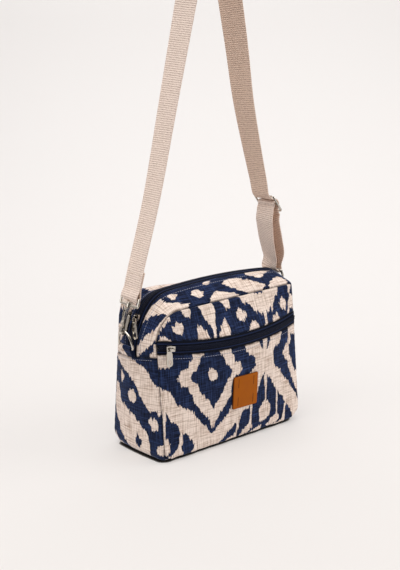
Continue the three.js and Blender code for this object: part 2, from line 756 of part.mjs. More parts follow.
  const halfHeight = (eye.high - eye.low) / 2;
  const loop = roundedLoop(eye.half - eye.wire, halfHeight, eye.corner, 3);
  const eyePath = loop.map(([y, z]) => vec(0, y, (eye.low + eye.high) / 2 + z));
  const eyeWire = wireLoop(eyePath, vec(1, 0, 0), eye.wire, 8);
  const boss = new THREE.CylinderGeometry(eye.boss, eye.boss, 2 * eye.wire + 0.6, 14);
  boss.rotateX(Math.PI / 2);
  boss.translate(0, 0, eye.low);
  const bore = hookPost.radius + hookPost.clear;
  const bossHole = new THREE.CylinderGeometry(bore, bore, 12, 12);
  bossHole.rotateX(Math.PI / 2);
  bossHole.translate(0, 0, eye.low);
  const eyeSolid = solid(eyeWire).add(solid(boss)).subtract(solid(bossHole));
  piece("hook_eye_" + name, surfaceOf(eyeSolid).applyMatrix4(frame), silverMetal);
  return frame;
}

const leftPull = vec(leftStrand[0].x, leftStrand[0].y, leftStrand[0].z);
const leftFrame = strapFitting(-1, leftPull);
const rightPull = vec(117.6, 3, 192);
const rightFrame = strapFitting(1, rightPull);

// Strap: a list of stations, each a point with the direction of the webbing's width
const strapPath = [];
const wrap = eye.wire + gap + webbing.thickness / 2;
const layer = webbing.thickness / 2 + gap / 2;

function addStation(point, turn, frame) {
  const angle = radians(turn);
  const across = vec(-Math.sin(angle), Math.cos(angle), 0);
  if (frame) {
    const local = vec(0, 1, 0).transformDirection(frame);
    across.copy(local).multiplyScalar(Math.sign(local.y));
  }
  strapPath.push({ point, across });
}

// Left end: tail on the bag's side, round the eye, then up the outer side
const leftLocal = (p, q) => vec(p, 0, q).applyMatrix4(leftFrame);
addStation(leftLocal(-layer, webbing.tail), 0, leftFrame);
addStation(leftLocal(-layer, 60), 0, leftFrame);
addStation(leftLocal(-layer, 50), 0, leftFrame);
addStation(leftLocal(-wrap + 0.2, eye.high + 3.6), 0, leftFrame);
for (let i = 0; i <= 8; i++) {
  const angle = Math.PI + (Math.PI * i) / 8;
  const p = wrap * Math.cos(angle);
  addStation(leftLocal(p, eye.high + wrap * Math.sin(angle)), 0, leftFrame);
}
addStation(leftLocal(wrap - 0.2, eye.high + 3.6), 0, leftFrame);
addStation(leftLocal(layer, 50), 0, leftFrame);
addStation(leftLocal(layer, 60), 0, leftFrame);
addStation(leftLocal(layer, webbing.tail + 2), 0, leftFrame);

// Strand along a smooth curve through rows of a table, with its turn
function addStrand(rows, steps, skipFirst, skipLast) {
  const curve = new THREE.CatmullRomCurve3(rows.map((row) => vec(row.x, row.y, row.z)));
  const turns = new THREE.SplineCurve(rows.map((row, i) => new THREE.Vector2(i, row.turn)));
  for (let i = skipFirst ? 1 : 0; i <= (skipLast ? steps - 1 : steps); i++) {
    addStation(curve.getPoint(i / steps), turns.getPoint(i / steps).y);
  }
}

const pegTurn = radians(peg.turn);
const pegPoint = (angle) =>
  vec(
    peg.x - peg.radius * Math.cos(angle) * Math.cos(pegTurn),
    peg.y - peg.radius * Math.cos(angle) * Math.sin(pegTurn),
    peg.z + peg.radius * Math.sin(angle),
  );
const row = (point, turn) => ({ x: point.x, y: point.y, z: point.z, turn });
const leftStart = row(leftLocal(layer, webbing.tail + 2), 0);
addStrand([leftStart, ...leftStrand, row(pegPoint(0), peg.turn)], 16, true, true);
for (let i = 0; i <= 10; i++) {
  addStation(pegPoint((Math.PI * i) / 10), peg.turn);
}
addStrand([row(pegPoint(Math.PI), peg.turn), ...rightStrand], 18, true, false);

// Through the slider: s runs down the slider's plane and n out of it
const tilt = radians(slider.tilt);
const sliderPoint = (s, n) =>
  vec(
    slider.x + s * Math.sin(tilt) + n * Math.cos(tilt),
    slider.y,
    slider.z - s * Math.cos(tilt) + n * Math.sin(tilt),
  );
const under = slider.wire + gap + webbing.thickness / 2;
const over = under + webbing.thickness + gap;
const weave = [
  [-16, -under - 0.3],
  [-slider.reach, -under],
  [-9, -under + 1],
  [-5, over - 1.8],
  [-2.6, over],
  [2.6, over],
  [5.2, over - 2],
  [9.4, -under + 1],
  [slider.reach, -under - 0.1],
  [15, -under - 0.3],
];
for (const [s, n] of weave) {
  addStation(sliderPoint(s, n), 0);
}

// Right loop: down the outer layer, round the eye, up the inner layer to the slider's middle bar
const rightLocal = (p, q) => vec(p, 0, q).applyMatrix4(rightFrame);
for (const { x, y, z } of outerLayer) {
  addStation(vec(x, y, z), 0);
}
addStation(rightLocal(wrap + 2.6, eye.high + 8), 0, rightFrame);
for (let i = 0; i <= 8; i++) {
  const angle = (-Math.PI * i) / 8;
  const p = wrap * Math.cos(angle);
  addStation(rightLocal(p, eye.high + wrap * Math.sin(angle)), 0, rightFrame);
}
addStation(rightLocal(-wrap - 2.4, eye.high + 5.2), 0, rightFrame);
for (const { x, y, z } of innerLayer) {
  addStation(vec(x, y, z), 0);
}
addStation(sliderPoint(17, -under - 7), 0);
addStation(sliderPoint(slider.reach, -over - 1.6), 0);
addStation(sliderPoint(7, -over + 0.6), 0);
addStation(sliderPoint(2, -under), 0);
for (let i = 0; i <= 6; i++) {
  const angle = Math.PI + (Math.PI * i) / 6;
  addStation(sliderPoint(under * Math.sin(angle), under * Math.cos(angle)), 0);
}
addStation(sliderPoint(1.6, under), 0);

const strapGrid = (lift) =>
  strapPath.map(({ point, across }, i) => {
    const before = strapPath[Math.max(0, i - 1)].point;
    const after = strapPath[Math.min(strapPath.length - 1, i + 1)].point;
    const run = after.clone().sub(before).normalize();
    const side = across.clone().addScaledVector(run, -across.dot(run)).normalize();
    const normal = side.clone().cross(run);
    const centre = point.clone().addScaledVector(normal, lift);
    const half = webbing.width / 2;
    return [-half, half].map((share) => centre.clone().addScaledVector(side, share));
  });
const strapWall = wallBetween(strapGrid(webbing.thickness / 2), strapGrid(-webbing.thickness / 2));
piece("strap", strapWall, beigeWebbing);

// Three-bar slider
const sliderNormal = vec(Math.cos(tilt), 0, Math.sin(tilt));
const sliderLoop = roundedLoop(slider.half, slider.reach, slider.corner, 3);
const sliderPath = sliderLoop.map(([y, s]) => sliderPoint(s, 0).add(vec(0, y, 0)));
const sliderFrame = wireLoop(sliderPath, sliderNormal, slider.wire, 8);
const middleBar = new THREE.CylinderGeometry(slider.wire, slider.wire, 2 * slider.half, 8);
middleBar.translate(slider.x, slider.y, slider.z);
const sliderSolid = solid(sliderFrame).add(solid(middleBar));
piece("strap_slider", surfaceOf(sliderSolid), silverMetal);

// Leather label lying on the pocket
const labelTurn = radians(label.tilt);
const labelGrid = (lift) =>
  Array.from({ length: 7 }, (_, r) =>
    Array.from({ length: 7 }, (_, c) => {
      const u = (c / 6 - 0.5) * label.width;
      const v = (r / 6 - 0.5) * label.height;
      const x = label.x + u * Math.cos(labelTurn) - v * Math.sin(labelTurn);
      const z = label.z + u * Math.sin(labelTurn) + v * Math.cos(labelTurn);
      return vec(x, frontY(x, z) - lift, z);
    }),
  );
const labelSeat = 0.5;
const labelWall = wallBetween(labelGrid(labelSeat + label.thickness), labelGrid(labelSeat));
piece("leather_label", labelWall, tanLeather);

// The underside of the strap at its top is the origin
bag.position.set(-peg.x, -peg.y, webbing.thickness / 2 - peg.z - peg.radius);
const part = new THREE.Group();
part.name = "shoulder_bag_part";
part.add(bag);
export default part;
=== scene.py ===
import json
import math

import bmesh
import bpy
import numpy as np
from mathutils import Matrix, Vector


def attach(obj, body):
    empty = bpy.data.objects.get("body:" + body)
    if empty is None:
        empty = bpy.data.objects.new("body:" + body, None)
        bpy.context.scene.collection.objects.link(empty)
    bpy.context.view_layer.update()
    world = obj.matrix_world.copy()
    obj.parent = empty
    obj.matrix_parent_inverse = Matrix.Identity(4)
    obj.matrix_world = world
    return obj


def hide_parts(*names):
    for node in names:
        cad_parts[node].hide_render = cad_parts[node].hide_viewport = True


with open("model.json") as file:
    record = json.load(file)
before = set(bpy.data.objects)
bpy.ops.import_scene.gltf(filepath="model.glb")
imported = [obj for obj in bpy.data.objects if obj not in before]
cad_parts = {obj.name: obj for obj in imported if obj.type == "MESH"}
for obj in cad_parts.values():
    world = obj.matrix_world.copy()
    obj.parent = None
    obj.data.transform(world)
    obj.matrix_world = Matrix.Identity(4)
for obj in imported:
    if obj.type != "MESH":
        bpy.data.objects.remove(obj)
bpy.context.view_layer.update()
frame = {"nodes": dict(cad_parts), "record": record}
print("frame loaded:", len(frame["nodes"]), "nodes")

# The bag is drawn in millimetres from its base, front towards -Y, then moved so the strap's top is the origin
strapTop = np.array([-16.3, 10.0, -666.7])
bagForm = {
    "width": 222, "seamHeight": 181, "leftRadius": 40, "rightRadius": 16, "baseLeft": 12, "baseRight": 20,
    "backRise": 13, "backSquare": 5, "backFade": 30, "backFrom": 0.2, "frontSquare": 6, "frontFrom": 0.2,
    "cloth": 1.6, "gap": 0.3, "zipHalf": 8,
    "frontBase": -53.5, "frontLean": 0.065, "backBase": 49.5, "backLean": -0.14,
    "sideSwellLow": 4.5, "sideSwell": 7, "topSwell": 21, "topFall": 0.35,
    "frontBulge": 16, "backBulge": 5, "jointHeight": 125.5, "jointFall": 0.12,
    "zipHeight": 139.5, "zipDip": 8, "zipFall": 0.027, "zipStray": 6, "strayHeight": 170, "straySpan": 24,
    "dent": 4, "dentAt": -72, "dentSpan": 34,
    "seamRoll": 1.5, "foldDepth": 1.0, "foldReach": 1.7,
}
halfWidth = bagForm["width"] / 2
seamHeight = bagForm["seamHeight"]
cloth = bagForm["cloth"]
gap = bagForm["gap"]
zipHalf = bagForm["zipHalf"]
jointHeight = bagForm["jointHeight"]


# helpers
def hexColour(code):
    parts = [int(code[i:i + 2], 16) / 255 for i in (0, 2, 4)]
    return [c / 12.92 if c <= 0.04045 else ((c + 0.055) / 1.055) ** 2.4 for c in parts] + [1.0]


def mix(a, b, t):
    return a + (b - a) * t


def smooth(low, high, value):
    t = np.clip((value - low) / (high - low), 0, 1)
    return t * t * (3 - 2 * t)


def ripple(along, size, seed):  # gentle waves from -1 to 1, the same on every run
    t = along / size * math.pi
    waves = np.sin(t + seed) + 0.7 * np.sin(1.73 * t + 2.3 * seed) + 0.5 * np.sin(2.89 * t + 4.1 * seed)
    return waves / 2.2


def roundOff(distance, reach):  # 1 at an edge, falling to 0 along a quarter circle
    t = np.clip(distance / reach, 0, 1)
    return 1 - np.sqrt(np.maximum(0, 1 - (1 - t) ** 2))


def unit(v):
    v = np.asarray(v, float)
    return v / np.linalg.norm(v, axis=-1, keepdims=True)


def addNode(tree, kind, settings=None, links=None):
    node = tree.nodes.new(kind)
    for key, value in (settings or {}).items():
        if isinstance(key, str) and hasattr(node, key):
            setattr(node, key, value)
        else:
            node.inputs[key].default_value = value
    for key, socket in (links or {}).items():
        tree.links.new(socket, node.inputs[key])
    return node


def newMaterial(name, finish):
    material = bpy.data.materials.new(name)
    material.use_nodes = True
    tree = material.node_tree
    shader = tree.nodes["Principled BSDF"]
    for key, value in finish.items():
        shader.inputs[key].default_value = value
    return material, tree, shader


def meshPiece(name, points, faces, material, nodes=(), uv=None, marks=None):
    mesh = bpy.data.meshes.new(name)
    mesh.from_pydata(((np.asarray(points) + strapTop) / 1000).tolist(), [], faces)
    work = bmesh.new()
    work.from_mesh(mesh)
    bmesh.ops.recalc_face_normals(work, faces=work.faces)
    work.to_mesh(mesh)
    work.free()
    if uv is not None:
        corner = np.empty(len(mesh.loops), np.int32)
        mesh.loops.foreach_get("vertex_index", corner)
        layer = mesh.uv_layers.new(name="cloth")
        layer.data.foreach_set("uv", np.asarray(uv, np.float32)[corner].ravel())
    for key, values in (marks or {}).items():
        mesh.attributes.new(key, "FLOAT", "POINT").data.foreach_set("value", np.asarray(values, np.float32))
    mesh.polygons.foreach_set("use_smooth", [True] * len(mesh.polygons))
    mesh.materials.append(material)
    piece = bpy.data.objects.new(name, mesh)
    bpy.context.scene.collection.objects.link(piece)
    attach(piece, "bag")
    if nodes:
        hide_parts(*nodes)


def wallFaces(rows, columns):  # closed thin wall between an outer and an inner grid
    out = np.arange(rows * columns).reshape(rows, columns)
    into = out + rows * columns

    def strip(a, b, c, d):
        return np.stack([a.ravel(), b.ravel(), c.ravel(), d.ravel()], 1)

    parts = [
        strip(out[:-1, :-1], out[:-1, 1:], out[1:, 1:], out[1:, :-1]),
        strip(into[:-1, :-1], into[1:, :-1], into[1:, 1:], into[:-1, 1:]),
        strip(out[:-1, 0], out[1:, 0], into[1:, 0], into[:-1, 0]),
        strip(out[1:, -1], out[:-1, -1], into[:-1, -1], into[1:, -1]),
        strip(out[0, 1:], out[0, :-1], into[0, :-1], into[0, 1:]),
        strip(out[-1, :-1], out[-1, 1:], into[-1, 1:], into[-1, :-1]),
    ]
    return np.concatenate(parts).tolist()


def clothWall(name, outer, inner, uv, marks, material, nodes):
    rows, columns = outer.shape[:2]
    points = np.concatenate([outer.reshape(-1, 3), inner.reshape(-1, 3)])
    both = np.concatenate([uv.reshape(-1, 2)] * 2)
    marks = {key: np.concatenate([values.ravel()] * 2) for key, values in marks.items()}
    meshPiece(name, points, wallFaces(rows, columns), material, nodes, both, marks)


def ringFaces(rings, count):  # skin through rings of points, capped at both ends
    base = np.arange(rings * count).reshape(rings, count)
    turn = np.roll(base, -1, axis=1)
    faces = np.stack([base[:-1].ravel(), turn[:-1].ravel(), turn[1:].ravel(), base[1:].ravel()], 1).tolist()
    return faces + [base[0, ::-1].tolist(), base[-1].tolist()]


# small rounded bead, used for stitches and zip coils
beadRings, beadSides = 5, 8


def beads(centres, alongs, outs, sizes):
    centres, alongs, outs = (np.asarray(a, float) for a in (centres, alongs, outs))
    alongs = unit(alongs)
    outs = unit(outs - (outs * alongs).sum(1, keepdims=True) * alongs)
    sides = np.cross(outs, alongs)
    polar = np.linspace(0, math.pi, beadRings + 2)[1:-1]
    turn = np.arange(beadSides) * 2 * math.pi / beadSides
    local = [[-1, 0, 0]]
    local += [[-math.cos(p), math.sin(p) * math.cos(t), math.sin(p) * math.sin(t)]
              for p in polar for t in turn]
    local += [[1, 0, 0]]
    local = np.sign(local) * np.abs(local) ** 0.8 * np.asarray(sizes)  # a little boxy
    points = (centres[:, None] + local[None, :, 0:1] * alongs[:, None] + local[None, :, 1:2] * sides[:, None]
              + local[None, :, 2:3] * outs[:, None])
    count = len(local)
    faces = []
    for k in range(beadSides):
        n = (k + 1) % beadSides
        faces.append([0, 1 + n, 1 + k])
        faces += [[1 + r * beadSides + k, 1 + r * beadSides + n, 1 + (r + 1) * beadSides + n,
                   1 + (r + 1) * beadSides + k] for r in range(beadRings - 1)]
        last = 1 + (beadRings - 1) * beadSides
        faces.append([last + k, last + n, count - 1])
    every = [[i + j * count for i in face] for j in range(len(centres)) for face in faces]
    return points.reshape(-1, 3), every


def evenSteps(line, outs, step):  # places along a polyline, with their directions and ways out
    lengths = np.linalg.norm(np.diff(line, axis=0), axis=1)
    reach = np.concatenate([[0], np.cumsum(lengths)])
    spots = np.arange(step / 2, reach[-1], step)

    def read(rows, at):
        return np.stack([np.interp(at, reach, rows[:, k]) for k in range(3)], 1)

    return read(line, spots), read(line, spots + 0.2) - read(line, spots - 0.2), read(outs, spots)


# outline of the bag
def frontAt(z):
    return bagForm["frontBase"] + bagForm["frontLean"] * z


def backAt(z):
    return bagForm["backBase"] + bagForm["backLean"] * z


def middleAt(z):
    return (frontAt(z) + backAt(z)) / 2


def halfDepthAt(z):
    return (backAt(z) - frontAt(z)) / 2


def jointAt(y):  # height of the side joint between the lower gusset and the zip gusset
    return jointHeight - bagForm["jointFall"] * (y + 9)


def cornerRise(radius, over):
    return np.sqrt(np.maximum(0, radius * radius - over * over))


def sideLimit(z, side):
    top = bagForm["leftRadius"] if side < 0 else bagForm["rightRadius"]
    base = bagForm["baseLeft"] if side < 0 else bagForm["baseRight"]
    corner = np.where(z < base, base, top)
    over = np.where(z < base, base - z, np.maximum(0, z - seamHeight + top))
    return side * (halfWidth - corner + cornerRise(corner, over))


def topLimit(x):
    radius = np.where(x < 0, bagForm["leftRadius"], bagForm["rightRadius"])
    return seamHeight - radius + cornerRise(radius, np.maximum(0, np.abs(x) - halfWidth + radius))


def baseLimit(x):
    radius = np.where(x < 0, bagForm["baseLeft"], bagForm["baseRight"])
    return radius - cornerRise(radius, np.maximum(0, np.abs(x) - halfWidth + radius))


# the back wall's top edge is squarer and higher than the front's at the left corner
leftFoot = seamHeight - bagForm["leftRadius"]
leftInner = bagForm["leftRadius"] - halfWidth
backReach = bagForm["leftRadius"] + bagForm["backRise"]
backSquare = bagForm["backSquare"]


def backFade(x):
    return bagForm["backRise"] * (1 - smooth(leftInner, bagForm["backFade"], x))


def backTopLimit(x):
    share = np.clip((leftInner - x) / bagForm["leftRadius"], 0, 1)
    corner = leftFoot + backReach * (1 - share ** backSquare) ** (1 / backSquare)
    return np.where(x > leftInner, topLimit(x) + backFade(x), corner)


def backRise(run):  # how far the back edge of the top strip lies outside the front's outline
    across = (np.maximum(0, -run[:, 2]) / bagForm["leftRadius"]) ** backSquare
    upward = (np.maximum(1e-6, run[:, 3]) / backReach) ** backSquare
    corner = np.maximum(across + upward, 1e-12) ** (-1 / backSquare) - bagForm["leftRadius"]
    rise = np.where(run[:, 0] > leftInner, backFade(run[:, 0]), corner)
    return np.where(np.isnan(run[:, 4]) & (run[:, 3] > 0), rise, 0)


# the front wall's top edge is squarer than the round outline at the right corner
rightFoot = seamHeight - bagForm["rightRadius"]
rightInner = halfWidth - bagForm["rightRadius"]
frontSquare = bagForm["frontSquare"]


def frontTopLimit(x):
    share = np.clip((x - rightInner) / bagForm["rightRadius"], 0, 1)
    corner = rightFoot + bagForm["rightRadius"] * (1 - share ** frontSquare) ** (1 / frontSquare)
    return np.where(x > rightInner, corner, topLimit(x))


def frontRise(run):  # how far the front edge of the top strip lies outside the round outline
    spread = np.maximum(0, run[:, 2]) ** frontSquare + np.maximum(1e-3, run[:, 3]) ** frontSquare
    rise = bagForm["rightRadius"] * (spread ** (-1 / frontSquare) - 1)
    return np.where(np.isnan(run[:, 4]) & (run[:, 2] > 0) & (run[:, 3] > 0), rise, 0)


def pocketZipAt(x):
    return bagForm["zipHeight"] - bagForm["zipDip"] * (1 - (x / halfWidth) ** 2) - bagForm["zipFall"] * x


def fullness(x, z):
    left, right = sideLimit(z, -1), sideLimit(z, 1)
    return 1 - np.minimum(1, np.abs((2 * x - left - right) / (right - left))) ** 2.2


def frontY(x, z):
    low, high = pocketZipAt(x) - zipHalf, pocketZipAt(x) + zipHalf
    below = 1 - np.maximum(0, 1 - z / low) ** 1.3
    climb = np.clip((z - high) / (seamHeight - high), 0, 1)
    above = (1 - climb) ** 1.15
    byDent = (x - bagForm["dentAt"]) / bagForm["dentSpan"]
    dent = np.where(z > high, bagForm["dent"] * np.exp(-byDent ** 2) * np.sin(math.pi * climb ** 0.4), 0)
    return frontAt(z) - cloth - fullness(x, z) * (bagForm["frontBulge"] * np.minimum(below, above) - dent)


def backY(x, z):
    belly = np.sin(math.pi * np.minimum(1, z / seamHeight))
    return backAt(z) + cloth + bagForm["backBulge"] * fullness(x, z) * belly


def station(x, z, nx, nz, share=np.nan, foot=0.0):
    return [x, z, nx, nz, share, foot]


def outlineRun(lower, step):  # stations round the outline, rows of x, z, nx, nz, share, foot
    rows = []
    radii = [bagForm[k] for k in (("baseLeft", "baseRight") if lower else ("leftRadius", "rightRadius"))]
    level = 0 if lower else seamHeight
    sign = -1 if lower else 1
    for side, radius in zip((-1, 1), radii):
        foot = level - sign * radius
        climb = [station(side * halfWidth, 0, side, 0, share, foot)
                 for share in np.linspace(1, 0, max(3, int(abs(foot - jointHeight) / step)), endpoint=False)]
        arc = []
        for angle in np.linspace(0, math.pi / 2, max(8, int(radius * 1.57 / step)) + 1):
            nx, nz = side * math.cos(angle), sign * math.sin(angle)
            arc.append(station(side * (halfWidth - radius) + radius * nx, foot + radius * nz, nx, nz))
        if side < 0:
            rows += climb + arc
            start = -halfWidth + radius
        else:
            end = halfWidth - radius
            count = int((end - start) / step)
            rows += [station(x, level, 0, sign) for x in np.linspace(start, end, count + 1)[1:-1]]
            rows += arc[::-1] + climb[::-1]
    return np.array(rows)


def heightOf(run):
    climbing = ~np.isnan(run[:, 4])
    return np.where(climbing, mix(run[:, 5], jointHeight, np.nan_to_num(run[:, 4])), run[:, 1])


def gussetGrid(run, y, lift, clear):  # points of the gusset for a y across at each station
    x, z, nx, nz, share, foot = (run[:, k:k + 1] for k in range(6))
    climbing = ~np.isnan(share)
    z = np.where(climbing, mix(foot, jointAt(y) + clear, np.nan_to_num(share)), z)
    rear = backRise(run)[:, None]
    fore = frontRise(run)[:, None]
    lean = np.where(y > middleAt(z), bagForm["backLean"] * rear, -bagForm["frontLean"] * fore)
    half = halfDepthAt(z) + nz * lean
    over = np.minimum(1, np.abs((y - middleAt(z)) / half))
    side = mix(bagForm["sideSwellLow"], bagForm["sideSwell"], smooth(10, 90, z))
    peak = bagForm["topSwell"] * (1 - bagForm["topFall"] * (x / halfWidth) ** 2)
    top = (peak - bagForm["sideSwell"]) * np.maximum(0, nz) ** 2
    zipSide = zipMiddle(run)[:, None] + zipHalf
    behind = (y - zipSide) / (backEdge(run)[:, None] - gap - zipSide)
    rear = rear * smooth(bagForm["backFrom"], 1, behind)
    zipFore = zipSide - 2 * zipHalf
    fore = fore * smooth(bagForm["frontFrom"], 1, (zipFore - y) / (zipFore - frontEdge(run)[:, None] - gap))
    out = (side * (1 + np.minimum(0, nz)) + top) * (1 - over ** 1.8) + rear + fore + lift
    return np.stack([x + nx * out, y + 0 * out, z + nz * out], -1)


def zipMiddle(run):  # the main zip strays forward at the left corner
    z = heightOf(run)
    byCorner = (z - bagForm["strayHeight"]) / bagForm["straySpan"]
    stray = -bagForm["zipStray"] * np.exp(-byCorner ** 2) * np.maximum(0, -run[:, 2])
    return middleAt(z) + np.where(run[:, 0] < 0, stray, 0)


def frontEdge(run):
    return frontAt(heightOf(run) + run[:, 3] * frontRise(run))


def backEdge(run):
    return backAt(heightOf(run) + run[:, 3] * backRise(run))


def runLength(run):
    z = heightOf(run)
    return np.concatenate([[0], np.cumsum(np.hypot(np.diff(run[:, 0]), np.diff(z)))])


# the print, charted in millimetres on the cloth
# Each row is a colour and an outline, laid one over the other on a navy ground
pocketPrint = [
    # top left patch
    ("cream", [(-116, 136), (-97, 135), (-93, 124), (-94, 118), (-100, 117), (-107, 118), (-116, 116)]),
    # lozenge: cream border with a knob each side, navy field, cream eye
    ("cream", [(-67, 140), (-67, 122), (-72, 118), (-73, 112), (-77, 111), (-81, 111), (-84, 108),
               (-88, 102), (-85, 97), (-82, 91), (-79, 90), (-74, 90), (-72, 82), (-68, 76), (-66, 67),
               (-60, 61), (-56, 54), (-52, 49), (-46, 45), (-43, 37), (-40, 30), (-37, 31), (-34, 37),
               (-30, 44), (-22, 51), (-18, 55), (-16, 60), (-12, 63), (-11, 72), (-10, 80), (-8, 88),
               (2, 89), (4, 93), (7, 95.5), (4, 98), (3, 102), (0, 106), (-6, 105.5), (-7, 110), (-8, 115),
               (-11, 119), (-12, 128), (-10, 140)]),
    ("navy", [(-48, 142), (-51, 126), (-57, 120), (-58, 114), (-61, 110), (-63, 106), (-67, 106),
              (-71, 100), (-68, 95), (-65, 92), (-61, 90), (-60, 85), (-58, 80), (-53, 75), (-49, 68),
              (-44, 64), (-41, 57), (-38.5, 53.5), (-36, 57), (-30, 64), (-24, 72), (-21, 79), (-17, 86),
              (-12, 90), (-10, 95.5), (-13, 101), (-18, 104), (-21, 110), (-23, 116), (-27, 120),
              (-30, 125), (-31, 142)]),
    ("cream", [(-43, 106), (-38, 106), (-34, 101), (-33, 93), (-35, 91), (-40, 89.5), (-44, 92), (-46, 97),
               (-46, 101)]),
    # wide chevron from the left seam down and up to the trunk
    ("cream", [(-116, 96), (-108, 93), (-103, 90.5), (-98, 88), (-95, 82), (-92, 74), (-89, 70), (-83, 66),
               (-77, 62), (-72, 59.5), (-66, 53), (-60, 45), (-54, 37), (-48, 33), (-45, 26), (-40, 21),
               (-35, 24.5), (-31, 30), (-24, 34), (-18, 39.5), (-12, 46), (-8, 51), (3, 60), (10, 67),
               (14, 76), (18, 84), (26, 92), (44, 90), (43, 78), (36, 70), (33, 60), (28, 48), (22, 43),
               (12, 40), (8, 38), (5, 33), (4, 25), (2, 15), (0, 9), (0, -4), (-118, -4)]),
    # trunk with two arms above and a leg down to the right corner
    ("cream", [(8, 140), (10, 124), (12, 118), (16, 112), (21, 109), (25, 108), (28, 103), (29, 95),
               (29, 86), (36, 70), (43, 78), (46, 80), (49, 79), (51, 74), (55, 71), (59, 64), (62, 60),
               (66, 55), (69, 52), (75, 42), (80, 39), (82, 33), (84, 29), (89, 26), (92, 20), (95, 15),
               (96, 10), (98, 4), (114, 2), (114, 24), (108, 30), (104, 38), (100, 42), (95, 50), (90, 58),
               (83, 63), (78, 69), (74, 77), (70, 81), (65, 83), (62, 87), (61, 92), (61, 104), (64, 109.5),
               (72, 111), (76, 116), (78, 124), (80, 140)]),
    ("navy", [(33, 142), (34, 123), (37, 117), (41, 112), (43, 110), (43, 114), (42, 120), (41, 142)]),
    ("navy", [(49, 142), (49.5, 118), (48, 110), (51, 111), (53, 116), (56, 122), (57, 142)]),
    # second lozenge at the right seam
    ("cream", [(93, 140), (93, 126), (92, 115), (91, 107), (86, 107), (83, 103), (80, 96), (83, 92),
               (85, 86), (89, 86), (91, 78), (94, 70), (97, 60), (101, 52), (106, 42), (109, 32), (116, 30),
               (116, 66), (106, 66), (104, 68), (100, 77), (98, 84), (94, 90), (93, 98), (94, 103),
               (98, 110), (98, 120), (101, 116), (116, 116), (116, 140)]),
    # leaves between the stems under the chevron
    ("navy", [(-116, 70), (-109, 68), (-108.5, 56), (-109, 44), (-110, 36), (-116, 34)]),
    ("navy", [(-105, 63), (-103, 60), (-101, 55), (-97, 50), (-91, 47), (-88, 41), (-87, 35), (-88, 27),
              (-90, 19), (-92, 14), (-98, 10), (-105, 8), (-107, 10), (-103, 15), (-102, 24), (-105, 30),
              (-107.5, 32), (-107, 42), (-105.5, 50), (-105.5, 60)]),
    ("navy", [(-83, 33), (-79, 31.5), (-75, 28), (-73, 23), (-69, 21), (-68, 17), (-66, 15), (-67, 10),
              (-70, 6), (-72, -2), (-84, -2), (-83, 8), (-86, 14), (-84, 22), (-83, 28)]),
    ("navy", [(-116, 8), (-108, 11), (-105, 7), (-98, 2), (-95, -2), (-116, -2)]),
    ("navy", [(0, 26), (-4, 25), (-9, 21), (-14, 18), (-18, 14), (-23, 9), (-28, 4), (-20, 3), (-12, 7),
              (-4, 10), (-1, 16), (0, 22)]),
    # fan of stems and drops under the trunk
    ("cream", [(-116, 34), (-108, 32), (-104, 28), (-102, 22), (-103, 15), (-108, 11), (-116, 9)]),
    ("cream", [(20.5, 44), (24.5, 44), (24.5, 32), (24, 20), (26, 13), (22, 9), (15, 5), (8, 1), (5, 1),
               (5, 6), (10, 12), (16, 17), (20.5, 20), (21.5, 32)]),
    ("cream", [(43.5, 80), (49, 80), (49.5, 70), (49, 62), (48.6, 50), (48.8, 42), (51, 42), (56, 36),
               (57, 29), (54, 22), (47, 16), (42, 15), (38, 17), (37, 24), (37, 34), (40, 38), (45, 42),
               (46.4, 46), (46.4, 62), (44.5, 64)]),
    ("cream", [(65.5, 56), (68.5, 55), (69.2, 40), (69, 20), (72, 16), (72, 12), (68, 8), (62, 6), (50, 5),
               (49, 8), (54, 13), (62, 17), (66, 20), (67, 30), (67, 44)]),
    ("cream", [(14, 0), (26, 6), (38, 11), (41, 11), (41, 0), (30, -3), (14, -3)]),
    ("cream", [(52, 3), (66, 4.5), (77, 9), (79, 15), (81, 22), (82, 30), (84.5, 30), (83.5, 20), (82, 10),
               (82, 0), (60, -3)]),
]
